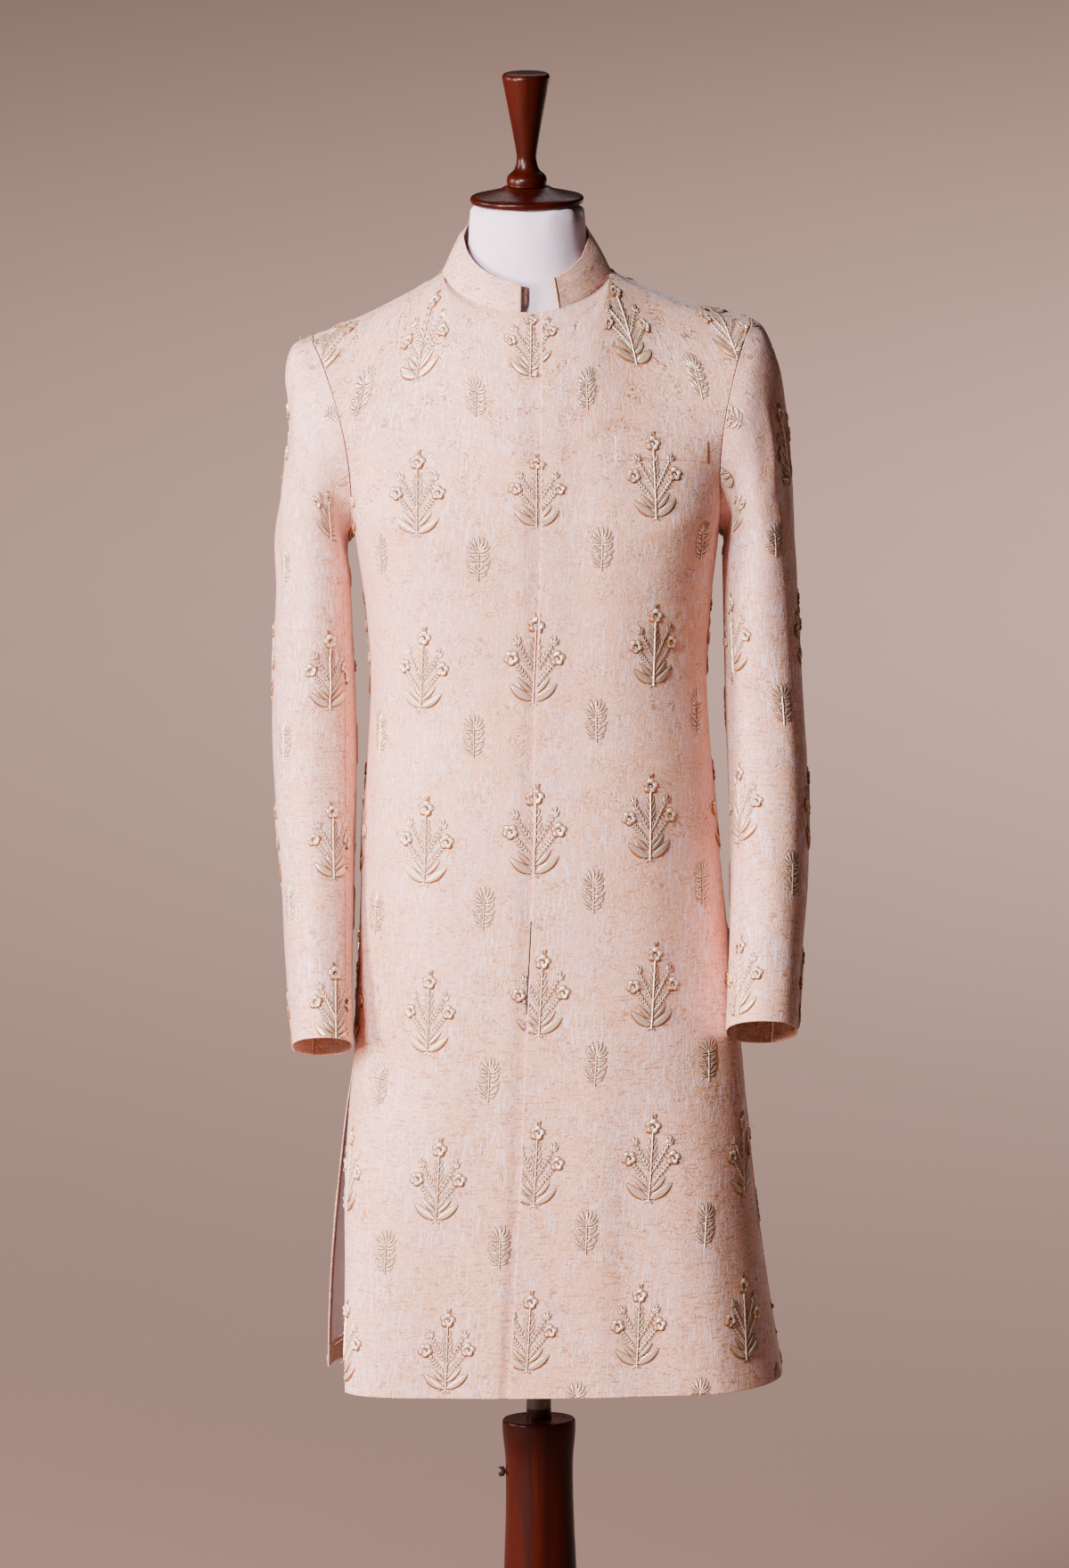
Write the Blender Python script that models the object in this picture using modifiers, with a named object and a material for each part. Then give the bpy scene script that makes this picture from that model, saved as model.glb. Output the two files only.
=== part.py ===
"""A knee-length sherwani coat worn by a limbless dress form on a turned wooden stand.

Metres, +Z up.  The origin is the centre of the stand's underside, the coat's front faces -Y, and
its left front (at +X) laps over the right one.  Every garment piece is an open sheet of surface
points with Solidify: the coat's body is one set of rows from hem to shoulder, shared out between
the two fronts and the back, so that neighbours meet edge to edge with a seam's gap.
"""
import math

import bmesh
import bpy
from mathutils import Vector

# ---------------------------------------------------------------- driving dimensions
CLOTH = 0.0016            # jacquard, interlining and lining together
SATIN = 0.0010            # the back's own lining
COLLAR_CLOTH = 0.0024
SEAM = 0.0003             # gap between two pieces at a seam
CREST_SEAM = 0.0006       # and along the shoulder, where the two walls lean together
HEAD_SEAM = 0.0007        # what the sleeve head adds to its seam's gap, where it turns down
FRONT_LAP = 0.0011        # between the two fronts
LAP = 0.0007              # gap between two layers that lie on each other

HEM_Z = 0.432
SLIT_Z = 0.745            # top of the side slits
CHEST_Z = 1.244           # underarm level
FORM_BOTTOM_Z = 0.805

# the coat's level sections: distances from the stand's axis to the cloth's outer face
# columns: z, left, right, front, back, corner, square
BODY = (
    (0.432, 0.193, 0.231, 0.142, 0.150, 4.4, 2.9),
    (0.510, 0.192, 0.219, 0.138, 0.147, 4.0, 2.8),
    (0.597, 0.187, 0.209, 0.134, 0.143, 3.6, 2.7),
    (0.683, 0.180, 0.202, 0.130, 0.139, 3.0, 2.6),
    (0.760, 0.173, 0.197, 0.127, 0.135, 2.6, 2.5),
    (0.855, 0.168, 0.185, 0.124, 0.131, 2.5, 2.5),
    (0.942, 0.165, 0.177, 0.121, 0.126, 2.4, 2.4),
    (1.028, 0.159, 0.171, 0.117, 0.119, 2.4, 2.4),
    (1.106, 0.155, 0.167, 0.115, 0.113, 2.4, 2.4),
    (1.157, 0.157, 0.169, 0.119, 0.116, 2.45, 2.45),
    (1.201, 0.162, 0.173, 0.1235, 0.122, 2.55, 2.55),
    (1.244, 0.168, 0.1785, 0.127, 0.128, 2.7, 2.7),
)
# x of the lapping edge of the left front
# columns: z, x
CLOSURE = (
    (0.432, -0.029), (0.510, -0.024), (0.640, -0.016), (0.780, -0.009), (0.900, -0.002),
    (1.090, 0.002), (1.244, 0.009), (1.475, 0.011),
)
UNDERLAP_COLUMNS = 2      # grid columns of the right front that lie under the left one

# side edges of the slit skirt, as angles round the section, and how far they swing out
# columns: drop, right_front, right_back, left_front, left_back, swing
SLIT = (
    (0.0, 0.0, 0.0, 0.0, 0.0, 0.0),
    (0.25, 9.0, 3.0, 0.4, 1.2, 0.003),
    (0.6, 22.0, 6.0, 1.5, 3.0, 0.007),
    (1.0, 26.0, 8.0, 3.0, 5.0, 0.010),
)

# shoulders and neck: side is -1 at the coat's right (-X) and +1 at its left
SHOULDER = {-1: Vector((-0.208, 0.000, 1.439)), 1: Vector((0.213, 0.000, 1.453))}
NECK_CENTRE = Vector((-0.0020, -0.002))
NECK_HALF_WIDTH = 0.0805
NECK_FRONT = 0.083
NECK_BACK = 0.070
NECK_SIDE_Z = 1.496
SHOULDER_CROWN = 0.17     # how full the shoulders are beside the neck
NECK_FRONT_DROP = 0.026
NECK_BACK_RISE = 0.012
# the armhole from underarm to shoulder: v along it, its rise, and its bow and inset
# columns: v, rise, front_bow, back_bow, inset
ARMHOLE = (
    (0.00, 0.000, 0.000, 0.000, 0.000),
    (0.13, 0.120, 0.036, 0.034, 0.003),
    (0.27, 0.265, 0.060, 0.055, 0.008),
    (0.42, 0.430, 0.074, 0.067, 0.012),
    (0.57, 0.590, 0.076, 0.069, 0.013),
    (0.71, 0.750, 0.066, 0.062, 0.011),
    (0.84, 0.885, 0.046, 0.046, 0.007),
    (0.94, 0.968, 0.023, 0.024, 0.002),
    (1.00, 1.000, 0.000, 0.000, 0.000),
)
# centre lines above the chest, from chest to neck
# columns: v, rise, front, back
CENTRE = (
    (0.00, 0.00, 0.127, 0.128),
    (0.13, 0.13, 0.129, 0.132),
    (0.27, 0.27, 0.1290, 0.134),
    (0.42, 0.42, 0.1265, 0.133),
    (0.57, 0.57, 0.121, 0.129),
    (0.71, 0.71, 0.113, 0.119),
    (0.84, 0.84, 0.102, 0.103),
    (0.94, 0.94, 0.092, 0.085),
    (1.00, 1.00, 0.085, 0.072),
)

# grid
HEM_ROWS = (0.432, 0.490, 0.555, 0.620, 0.685, 0.745, 0.815, 0.890, 0.965, 1.035, 1.106, 1.175)
YOKE_ROWS = tuple(row[0] for row in ARMHOLE)
HALF_COLUMNS = 12         # a front half, side to closure edge
NECK_COLUMN = 6           # where the shoulder seam ends and the neckline begins
BACK_COLUMNS = 18

# large soft folds: where on the body, how far they reach and how deep they are
# columns: angle, z_low, z_high, spread, depth, lean
FOLDS = (
    (38.0, 0.40, 0.86, 9.0, 0.005, 0.0),
    (60.0, 0.38, 0.78, 8.0, -0.004, 4.0),
    (128.0, 0.38, 0.74, 9.0, -0.004, -5.0),
    (148.0, 0.40, 0.80, 8.0, 0.004, -3.0),
    (228.0, 0.38, 0.95, 11.0, 0.006, 3.0),
    (252.0, 0.38, 0.90, 9.0, -0.005, 2.0),
    (288.0, 0.38, 0.95, 9.0, -0.005, -2.0),
    (312.0, 0.38, 0.92, 11.0, 0.006, -3.0),
)

# sleeves: outer and inner edges seen from the front, the centre's depth and the half depth
SLEEVE_LENGTH = 0.678
BICEPS_DROP = 0.240
# columns: drop, outer, inner, depth, half_depth
SLEEVE = {
    -1: (
        (0.195, 0.2414, 0.1735, 0.004, 0.067),
        (0.240, 0.2430, 0.1725, 0.005, 0.066),
        (0.320, 0.2465, 0.1695, 0.008, 0.064),
        (0.390, 0.2480, 0.1680, 0.008, 0.061),
        (0.455, 0.2460, 0.1690, 0.000, 0.059),
        (0.540, 0.2395, 0.1720, -0.020, 0.056),
        (0.610, 0.2360, 0.1740, -0.042, 0.054),
        (0.678, 0.2320, 0.1740, -0.066, 0.052),
    ),
    1: (
        (0.195, 0.2500, 0.1830, 0.004, 0.067),
        (0.240, 0.2520, 0.1820, 0.005, 0.066),
        (0.320, 0.2560, 0.1830, 0.006, 0.064),
        (0.390, 0.2600, 0.1840, 0.004, 0.061),
        (0.455, 0.2620, 0.1860, -0.008, 0.059),
        (0.540, 0.2600, 0.1870, -0.034, 0.056),
        (0.610, 0.2550, 0.1850, -0.060, 0.054),
        (0.678, 0.2500, 0.1810, -0.087, 0.052),
    ),
}
HEAD_FULLNESS = {-1: 0.66, 1: 0.46}    # how far the head stands out past the shoulder seam
# dents where the empty sleeve falls in, as positions round the ring and drops from the shoulder
# columns: position, drop, spread_round, spread_along, depth
SLEEVE_DENTS = {
    -1: (
        (8.5, 0.100, 3.4, 0.052, 0.0220), (8.0, -0.005, 3.0, 0.015, -0.0100),
        (4.5, 0.200, 1.6, 0.050, 0.0030),
    ),
    1: (
        (6.5, 0.150, 1.8, 0.060, 0.0045), (9.5, 0.060, 1.6, 0.035, 0.0030),
        (8.0, 0.005, 3.0, 0.020, 0.0050),
    ),
}
RING = 16                 # vertices round a sleeve: 0 under the arm, 4 front, 8 outside, 12 back
SLEEVE_SEAMS = (2.5, 11.5)
CAP_RINGS = 6
TUBE_RINGS = 10

# collar, from its open front round to the back; its ends stand apart at the closure
# columns: turn, height, lean
COLLAR = (
    (0.0, 0.024, 0.009), (45.0, 0.030, 0.015), (90.0, 0.037, 0.0210), (135.0, 0.042, 0.017),
    (180.0, 0.043, 0.011),
)
COLLAR_END = 0.0185       # from the closure edge to each end
COLLAR_LIFT = 0.0007

# the pocket welt on the left front: x and the z of its upper and lower edge at each end
# columns: x, top_z, bottom_z
WELT_ENDS = ((0.079, 1.3555, 1.3290), (0.168, 1.3485, 1.3220))
WELT_CLOTH = 0.0015
WELT_LIFT = 0.0011
WELT_COLUMNS = 6

# stand
FACETS = 24
BASE_RADIUS = 0.190
BASE_HEIGHT = 0.030
POST_TOP_Z = 0.386
POST_FOOT_RADIUS = 0.058
BORE_BOTTOM_Z = 0.045
ROD_RADIUS = 0.0118
ROD_BOTTOM_Z = 0.175
RUN = 0.0003              # running clearance round the rod
SOCKET_RADIUS = 0.034
SOCKET_HEIGHT = 0.040
SCREW_Z = 0.3345          # axis of the clamp screw
SCREW_HEAD_RADIUS = 0.0048
SCREW_HEAD_LENGTH = 0.0060
SCREW_SHANK_RADIUS = 0.0022

# dress form
FORM_CLEAR = 0.0006       # clearance to the cloth at the shoulders
FORM_EASE = 0.009         # and how much more there is below them
ARM_END_CLEAR = 0.004
NECK_TOP_Z = 1.562
CAP_RADIUS = 0.054
FORM_NECK_X = -0.001
# columns: z, radius, forward
NECK_RINGS = (
    (1.492, 0.0655, 0.000), (1.506, 0.0600, -0.001), (1.530, 0.0563, -0.002),
    (NECK_TOP_Z, 0.0560, -0.003),
)


# ---------------------------------------------------------------- helpers
def smooth(table, at):
    """The table's other columns at a value of its first, on a smooth curve through its rows."""
    keys = [row[0] for row in table]
    at = min(max(at, keys[0]), keys[-1])
    low = max(i for i in range(len(keys) - 1) if keys[i] <= at)
    high = low + 1
    span = keys[high] - keys[low]
    t = (at - keys[low]) / span

    def slope(i, column):
        before = max(i - 1, 0)
        after = min(i + 1, len(keys) - 1)
        return (table[after][column] - table[before][column]) / (keys[after] - keys[before])

    result = []
    for column in range(1, len(table[0])):
        start = table[low][column]
        end = table[high][column]
        result.append(
            (2 * t**3 - 3 * t**2 + 1) * start
            + (t**3 - 2 * t**2 + t) * span * slope(low, column)
            + (3 * t**2 - 2 * t**3) * end
            + (t**3 - t**2) * span * slope(high, column)
        )
    return result


def ease(t):
    t = min(max(t, 0.0), 1.0)
    return t * t * (3 - 2 * t)


def material(name, colour, roughness, metallic=0.0):
    made = bpy.data.materials.new(name)
    made.use_nodes = True
    shader = made.node_tree.nodes["Principled BSDF"]
    shader.inputs["Base Color"].default_value = (*colour, 1.0)
    shader.inputs["Roughness"].default_value = roughness
    shader.inputs["Metallic"].default_value = metallic
    return made


def add_object(name, mesh, finish):
    made = bpy.data.objects.new(name, mesh)
    collection.objects.link(made)
    mesh.materials.clear()
    mesh.materials.append(finish)
    return made


def sheet(name, rows, finish, thickness, inside):
    """A cloth wall: rows of outer points made solid towards the point `inside` of the first row."""
    bm = bmesh.new()
    count = len(rows[0])
    bmesh.ops.create_grid(bm, x_segments=count - 1, y_segments=len(rows) - 1, size=1)
    bm.verts.ensure_lookup_table()
    for j, row in enumerate(rows):
        for i, point in enumerate(row):
            bm.verts[j * count + i].co = point
    bm.normal_update()
    bm.faces.ensure_lookup_table()
    facing = sum(face.normal.dot(face.calc_center_median() - inside(face)) for face in bm.faces)
    if facing < 0:
        bmesh.ops.reverse_faces(bm, faces=bm.faces)
    mesh = bpy.data.meshes.new(name)
    bm.to_mesh(mesh)
    bm.free()
    made = add_object(name, mesh, finish)
    wall = made.modifiers.new("wall", "SOLIDIFY")
    wall.thickness = thickness
    wall.offset = -1
    wall.use_even_offset = False
    mesh.shade_smooth()
    return made


def turned(name, profile, finish, steps=FACETS):
    """A turned solid: the profile's (radius, z) points spun about the stand's axis."""
    mesh = bpy.data.meshes.new(name)
    points = [(radius, 0, z) for radius, z in profile]
    edges = [(i, i + 1) for i in range(len(points) - 1)]
    mesh.from_pydata(points, edges, [])
    made = add_object(name, mesh, finish)
    spin = made.modifiers.new("spin", "SCREW")
    spin.steps = steps
    spin.render_steps = steps
    spin.use_merge_vertices = True
    spin.merge_threshold = 0.00001
    spin.use_normal_calculate = False
    return made


def on_grid(rows, row, column):
    """The point at a fractional row and column of a grid, on its flat facets."""
    j = min(int(row), len(rows) - 2)
    i = min(int(column), len(rows[0]) - 2)
    t = row - j
    s = column - i
    low = rows[j][i].lerp(rows[j][i + 1], s)
    high = rows[j + 1][i].lerp(rows[j + 1][i + 1], s)
    return low.lerp(high, t)


def grid_normal(rows, row, column, inside):
    """The outward normal at a grid point, from its neighbours."""
    low = rows[max(row - 1, 0)][column]
    high = rows[min(row + 1, len(rows) - 1)][column]
    near = rows[row][max(column - 1, 0)]
    far = rows[row][min(column + 1, len(rows[0]) - 1)]
    normal = (far - near).cross(high - low).normalized()
    if normal.dot(rows[row][column] - inside) < 0:
        normal = -normal
    return normal


# ---------------------------------------------------------------- the coat's body surface
def fold_at(degrees, z):
    total = 0.0
    for angle, z_low, z_high, spread, depth, lean in FOLDS:
        middle = (z_low + z_high) / 2
        centre = angle + lean * (z - middle) / (z_high - z_low)
        away = (degrees - centre) / spread
        fade = ease((z_high - z) / (z_high - middle)) * ease((z - z_low + 0.2) / 0.2)
        total += depth * math.exp(-away * away) * fade
    return total


def body_point(degrees, z):
    """The cloth's outer face at an angle round the coat: 0 at +X, 90 in front, 180 at -X."""
    left, right, front, back, corner, square = smooth(BODY, z)
    centre_x = (right - left) / 2
    half_width = (right + left) / 2
    angle = math.radians(degrees)
    c = math.cos(angle)
    s = math.sin(angle)
    power = corner if s > 0 and c < 0 else square
    depth = front if s > 0 else back
    radius = ((abs(c) / half_width) ** power + (abs(s) / depth) ** power) ** (-1 / power)
    radius += fold_at(degrees % 360, z)
    return Vector((centre_x + radius * c, -radius * s, z))


def closure_angle(z):
    left, right, front, back, corner, square = smooth(BODY, z)
    (edge_x,) = smooth(CLOSURE, z)
    return math.degrees(math.atan2(front, edge_x - (right - left) / 2))


def slit(z):
    drop = (SLIT_Z - z) / (SLIT_Z - HEM_Z)
    return smooth(SLIT, drop)


def swung(point, amount, reach):
    """A point near a slit's edge, moved outwards; reach falls from 1 at the edge to 0."""
    outward = Vector((point.x, point.y, 0)).normalized()
    return point + outward * amount * ease(reach)


def neck_point(degrees):
    """The neckline: 0 at +X, 90 in front, 180 at -X."""
    angle = math.radians(degrees)
    c = math.cos(angle)
    s = math.sin(angle)
    depth = NECK_FRONT if s > 0 else NECK_BACK
    z = NECK_SIDE_Z - NECK_FRONT_DROP * max(s, 0) ** 1.4 + NECK_BACK_RISE * max(-s, 0) ** 1.4
    return Vector((NECK_CENTRE.x + NECK_HALF_WIDTH * c, NECK_CENTRE.y - depth * s, z))


def neck_closure_angle():
    edge_x = CLOSURE[-1][1]
    return math.degrees(math.acos((edge_x - NECK_CENTRE.x) / NECK_HALF_WIDTH))


def armhole_point(side, v, front):
    rise, front_bow, back_bow, inset = smooth(ARMHOLE, v)
    underarm = body_point(0 if side > 0 else 180, CHEST_Z)
    shoulder = SHOULDER[side]
    bow = -front_bow if front else back_bow
    point = underarm.lerp(shoulder, rise)
    return point + Vector((-side * inset, bow, 0))


def centre_point(v, front):
    rise, front_depth, back_depth = smooth(CENTRE, v)
    if front:
        foot = body_point(closure_angle(CHEST_Z), CHEST_Z)
        head = neck_point(neck_closure_angle())
        depth = -front_depth
    else:
        foot = body_point(270, CHEST_Z)
        head = neck_point(270)
        depth = back_depth
    point = foot.lerp(head, rise)
    return Vector((point.x, depth, point.z))


def yoke_top(side, u, neck_share, front):
    """The upper edge of a panel's half: shoulder seam, then neckline to the centre."""
    at_side = 0 if side > 0 else 180
    if u <= neck_share:
        shoulder = SHOULDER[side]
        neck = neck_point(at_side)
        t = u / neck_share
        hollow = 0.004 * math.sin(math.pi * t)
        return shoulder.lerp(neck, t) - Vector((0, 0, hollow))
    t = (u - neck_share) / (1 - neck_share)
    end = neck_closure_angle() if front else 270
    start = 360 if side > 0 and not front else at_side
    return neck_point(start + (end - start) * t)


def rounded_top(side, u, v, neck_share, front):
    """The upper edge as a lower row follows it: the corner beside the neck is rounded off."""
    reach = min(0.6 * (1 - v), u, 1 - u)
    total = Vector()
    for step, weight in ((-1.0, 1), (-0.5, 2), (0.0, 3), (0.5, 2), (1.0, 1)):
        total += yoke_top(side, u + reach * step, neck_share, front) * weight / 9
    return total


def yoke_point(side, u, v, neck_share, front):
    """Above the chest: a patch between armhole, centre line, chest line and upper edge."""
    at_side = 0 if side > 0 else 180
    if front:
        degrees = at_side + (closure_angle(CHEST_Z) - at_side) * u
    else:
        start = 360 if side > 0 else 180
        degrees = start + (270 - start) * u
    chest = body_point(degrees, CHEST_Z)
    top = rounded_top(side, u, v, neck_share, front)
    arm = armhole_point(side, v, front)
    centre = centre_point(v, front)
    w = ease(u)
    e = ease(v)
    corners = (
        armhole_point(side, 0, front) * (1 - w) * (1 - e)
        + centre_point(0, front) * w * (1 - e)
        + armhole_point(side, 1, front) * (1 - w) * e
        + yoke_top(side, 1, neck_share, front) * w * e
    )
    point = arm * (1 - w) + centre * w + chest * (1 - e) + top * e - corners
    # in depth a level section keeps the chest's round shape, and flattens to the shoulder seam's
    chest_share = chest.y / centre_point(0, front).y
    top_share = top.y / yoke_top(side, 1, neck_share, front).y
    near_top = ease((v - 0.75) / 0.25)
    top_share = top_share * near_top + ease((u - neck_share + 0.2) / 0.7) * (1 - near_top)
    point.y = arm.y + (centre.y - arm.y) * (chest_share * (1 - e) + top_share * e)
    from_neck = u / neck_share if u < neck_share else (1 - u) / (1 - neck_share)
    point.z += SHOULDER_CROWN * ease(from_neck) * v**4 * (1 - v)
    return point


def half_front_rows(side):
    """Rows of points from the side edge to the closure edge."""
    share = NECK_COLUMN / HALF_COLUMNS
    rows = []
    for z in HEM_ROWS:
        right_front, right_back, left_front, left_back, swing = slit(z)
        edge = left_front if side > 0 else 180 - right_front
        row = []
        for i in range(HALF_COLUMNS + 1):
            u = i / HALF_COLUMNS
            point = body_point(edge + (closure_angle(z) - edge) * u, z)
            row.append(swung(point, swing * 0.3, 1 - 3 * u) if side > 0 else point)
        rows.append(row)
    for v in YOKE_ROWS:
        rows.append([yoke_point(side, i / HALF_COLUMNS, v, share, True)
                     for i in range(HALF_COLUMNS + 1)])
    return rows


def back_rows():
    """Rows of points from the right side (-X) round the back to the left side."""
    third = BACK_COLUMNS // 3
    half = BACK_COLUMNS // 2
    share = third / half
    rows = []
    for z in HEM_ROWS:
        right_front, right_back, left_front, left_back, swing = slit(z)
        start = 180 + right_back
        end = 360 - left_back
        row = []
        for i in range(BACK_COLUMNS + 1):
            u = i / BACK_COLUMNS
            point = body_point(start + (end - start) * u, z)
            point = swung(point, swing, 1 - 5 * u)
            row.append(swung(point, swing * 0.3, 1 - 5 * (1 - u)))
        rows.append(row)
    for v in YOKE_ROWS:
        right = [yoke_point(-1, i / half, v, share, False) for i in range(half + 1)]
        left = [yoke_point(1, i / half, v, share, False) for i in range(half)]
        rows.append(right + left[::-1])
    return rows


def join_seams(left, right, back):
    """Seam points lie halfway between the neighbours on both sides, half a gap back."""
    half_gap = Vector((0, SEAM / 2, 0))
    slit_row = HEM_ROWS.index(SLIT_Z)
    for j in range(slit_row, len(HEM_ROWS) + 1):
        for front, at_back, next_back in ((left, -1, -2), (right, 0, 1)):
            middle = front[j][1].lerp(back[j][next_back], 0.5)
            front[j][0] = middle - half_gap
            back[j][at_back] = middle + half_gap
    half_gap = Vector((0, CREST_SEAM / 2, 0))
    for i in range(NECK_COLUMN + 1):
        for front, column in ((left, BACK_COLUMNS - i), (right, i)):
            if i < NECK_COLUMN:
                middle = front[-2][i].lerp(back[-2][column], 0.5)
            else:
                middle = front[-1][i].lerp(back[-1][column], 0.5)
            front[-1][i] = middle - half_gap
            back[-1][column] = middle + half_gap


def axis_point(face):
    return Vector((0, 0, face.calc_center_median().z - 0.05))


def moved_in(rows, amount):
    inside = [Vector((0, 0, row[0].z - 0.05)) for row in rows]
    return [[point - grid_normal(rows, j, i, inside[j]) * amount for i, point in enumerate(row)]
            for j, row in enumerate(rows)]


# ---------------------------------------------------------------- garment pieces
def make_body(left, right, back):
    sheet("front_left", left, jacquard, CLOTH, axis_point)
    lapped = moved_in(left, CLOTH + FRONT_LAP)
    rows = []
    for j, row in enumerate(right):
        under = [lapped[j][HALF_COLUMNS - k] for k in range(UNDERLAP_COLUMNS + 1)]
        rows.append(row[:-1] + under)
    sheet("front_right", rows, jacquard, CLOTH, axis_point)
    sheet("back", back, jacquard, CLOTH, axis_point)
    return rows


def make_back_lining(back):
    """White satin inside the skirt of the back, short of its slit edges and hem."""
    inner = moved_in(back, CLOTH + LAP)
    rows = []
    for row in (0.32, 1, 2, 3, 4, 5, 6):
        columns = [0.55] + list(range(1, BACK_COLUMNS)) + [BACK_COLUMNS - 0.55]
        rows.append([on_grid(inner, row, column) for column in columns])
    sheet("back_lining", rows, satin, SATIN, axis_point)


def neckline(left, right, back):
    """The panels' own top points from the collar's right end round the back to its left end."""
    def end_point(row):
        edge = row[HALF_COLUMNS]
        beside = row[HALF_COLUMNS - 1]
        return edge.lerp(beside, COLLAR_END / (beside - edge).length)

    right_front = [right[-1][i] for i in range(HALF_COLUMNS - 1, NECK_COLUMN, -1)]
    left_front = [left[-1][i] for i in range(NECK_COLUMN + 1, HALF_COLUMNS)]
    nape = [back[-1][i] for i in range(NECK_COLUMN, BACK_COLUMNS - NECK_COLUMN + 1)]
    return [end_point(right[-1])] + right_front + nape + left_front + [end_point(left[-1])]


def make_collar(left, right, back):
    """A stand collar on the neckline, open in front and leaning in to the neck."""
    centre = Vector((*NECK_CENTRE, 0))
    rows = []
    for level in (0.0, 0.5, 1.0):
        row = []
        for foot in neckline(left, right, back):
            outward = (foot - centre) * Vector((1, 1, 0))
            outward.normalize()
            turn = math.degrees(math.acos(max(-1.0, min(1.0, -outward.y))))
            height, lean = smooth(COLLAR, turn)
            inward = lean * level * (0.7 + 0.3 * level)
            row.append(foot + Vector((0, 0, COLLAR_LIFT + height * level)) - outward * inward)
        rows.append(row)
    sheet("collar", rows, jacquard, COLLAR_CLOTH, lambda face: Vector((0, 0, 1.5)))


def grid_place(rows, x, z):
    """The fractional row and column of a grid at an x and z, by Newton's method."""
    row = len(HEM_ROWS) + 3.0
    column = HALF_COLUMNS / 3
    step = 0.01
    for _ in range(30):
        here = on_grid(rows, row, column)
        up = (on_grid(rows, row + step, column) - here) / step
        along = (on_grid(rows, row, column + step) - here) / step
        area = up.x * along.z - up.z * along.x
        row += ((x - here.x) * along.z - (z - here.z) * along.x) / area
        column += (up.x * (z - here.z) - up.z * (x - here.x)) / area
    return row, column


def make_welt(left):
    """The breast pocket's welt, lying on the left front's own facets."""
    raised = moved_in(left, -(WELT_LIFT + WELT_CLOTH))
    near, far = WELT_ENDS
    rows = []
    for level in (0, 0.5, 1):
        row = []
        for i in range(WELT_COLUMNS + 1):
            share = i / WELT_COLUMNS
            x, top, bottom = [a + (b - a) * share for a, b in zip(near, far)]
            row.append(on_grid(raised, *grid_place(raised, x, bottom + (top - bottom) * level)))
        rows.append(row)
    sheet("pocket_welt", rows, jacquard, WELT_CLOTH, axis_point)


def sleeve_rings(side, fronts, back):
    """Closed rings from the armhole to the cuff, each with RING points from under the arm."""
    first = len(HEM_ROWS)
    armhole = [fronts[side][first + k][0] for k in range(len(YOKE_ROWS))]
    back_column = BACK_COLUMNS if side > 0 else 0
    behind = [back[first + k][back_column] for k in range(len(YOKE_ROWS))]
    top = armhole[-1].lerp(behind[-1], 0.5)
    under = armhole[0].lerp(behind[0], 0.5)
    ring = [point.copy() for point in [under] + armhole[1:-1] + [top] + behind[1:-1][::-1]]
    for point in ring:
        rise = (point.z - under.z) / (top.z - under.z)
        point.x += side * (SEAM + HEAD_SEAM * rise * rise)
    shoulder_z = SHOULDER[side].z

    def tube_ring(drop):
        outer, inner, depth, half_depth = smooth(SLEEVE[side], drop)
        step = 0.01
        ahead = smooth(SLEEVE[side], min(drop + step, SLEEVE_LENGTH))
        behind_it = smooth(SLEEVE[side], max(drop - step, BICEPS_DROP))
        run = min(drop + step, SLEEVE_LENGTH) - max(drop - step, BICEPS_DROP)
        tilt = math.atan2(ahead[2] - behind_it[2], run)
        tilt *= ease((drop - BICEPS_DROP) / 0.15)
        centre = Vector((side * (outer + inner) / 2, depth, shoulder_z - drop))
        half_width = (outer - inner) / 2
        deep = Vector((0, math.cos(tilt), math.sin(tilt)))
        points = []
        for k in range(RING):
            angle = 2 * math.pi * k / RING
            c = math.cos(angle)
            s = math.sin(angle)
            power = 2.3
            radius = ((abs(c) / half_width) ** power + (abs(s) / half_depth) ** power) ** (-1 / power)
            points.append(centre + Vector((-side * radius * c, 0, 0)) - deep * radius * s)
        return points

    def fallen_in(points):
        """A ring with the sleeve's dents pressed into it."""
        centre = sum(points, Vector()) / RING
        pressed = []
        for k, point in enumerate(points):
            depth = 0.0
            for at, drop, spread_round, spread_along, amount in SLEEVE_DENTS[side]:
                around = (k - at) / spread_round
                along = (shoulder_z - point.z - drop) / spread_along
                depth += amount * math.exp(-around * around - along * along)
            inward = (centre - point) * Vector((1, 1, 0))
            pressed.append(point + inward.normalized() * depth)
        return pressed

    biceps = tube_ring(BICEPS_DROP)
    rings = [ring]
    for step in range(1, CAP_RINGS):
        t = step / CAP_RINGS
        points = []
        for k in range(RING):
            start = ring[k]
            end = biceps[k]
            reach = (end - start).length
            rise = (start.z - under.z) / (top.z - under.z)
            lead = Vector((side, 0, -0.35 + 0.35 * rise)).normalized() * reach
            lead *= 0.9 + (HEAD_FULLNESS[side] - 0.9) * rise
            drop = Vector((0, 0, -1)) * reach * 1.05
            points.append(
                start * (2 * t**3 - 3 * t**2 + 1) + lead * (t**3 - 2 * t**2 + t)
                + end * (3 * t**2 - 2 * t**3) + drop * (t**3 - t**2)
            )
        rings.append(fallen_in(points))
    for step in range(TUBE_RINGS + 1):
        share = step / TUBE_RINGS
        rings.append(fallen_in(tube_ring(BICEPS_DROP + (SLEEVE_LENGTH - BICEPS_DROP) * share)))
    return rings


def ring_point(points, position):
    low = math.floor(position)
    return points[low % RING].lerp(points[(low + 1) % RING], position - low)


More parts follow.
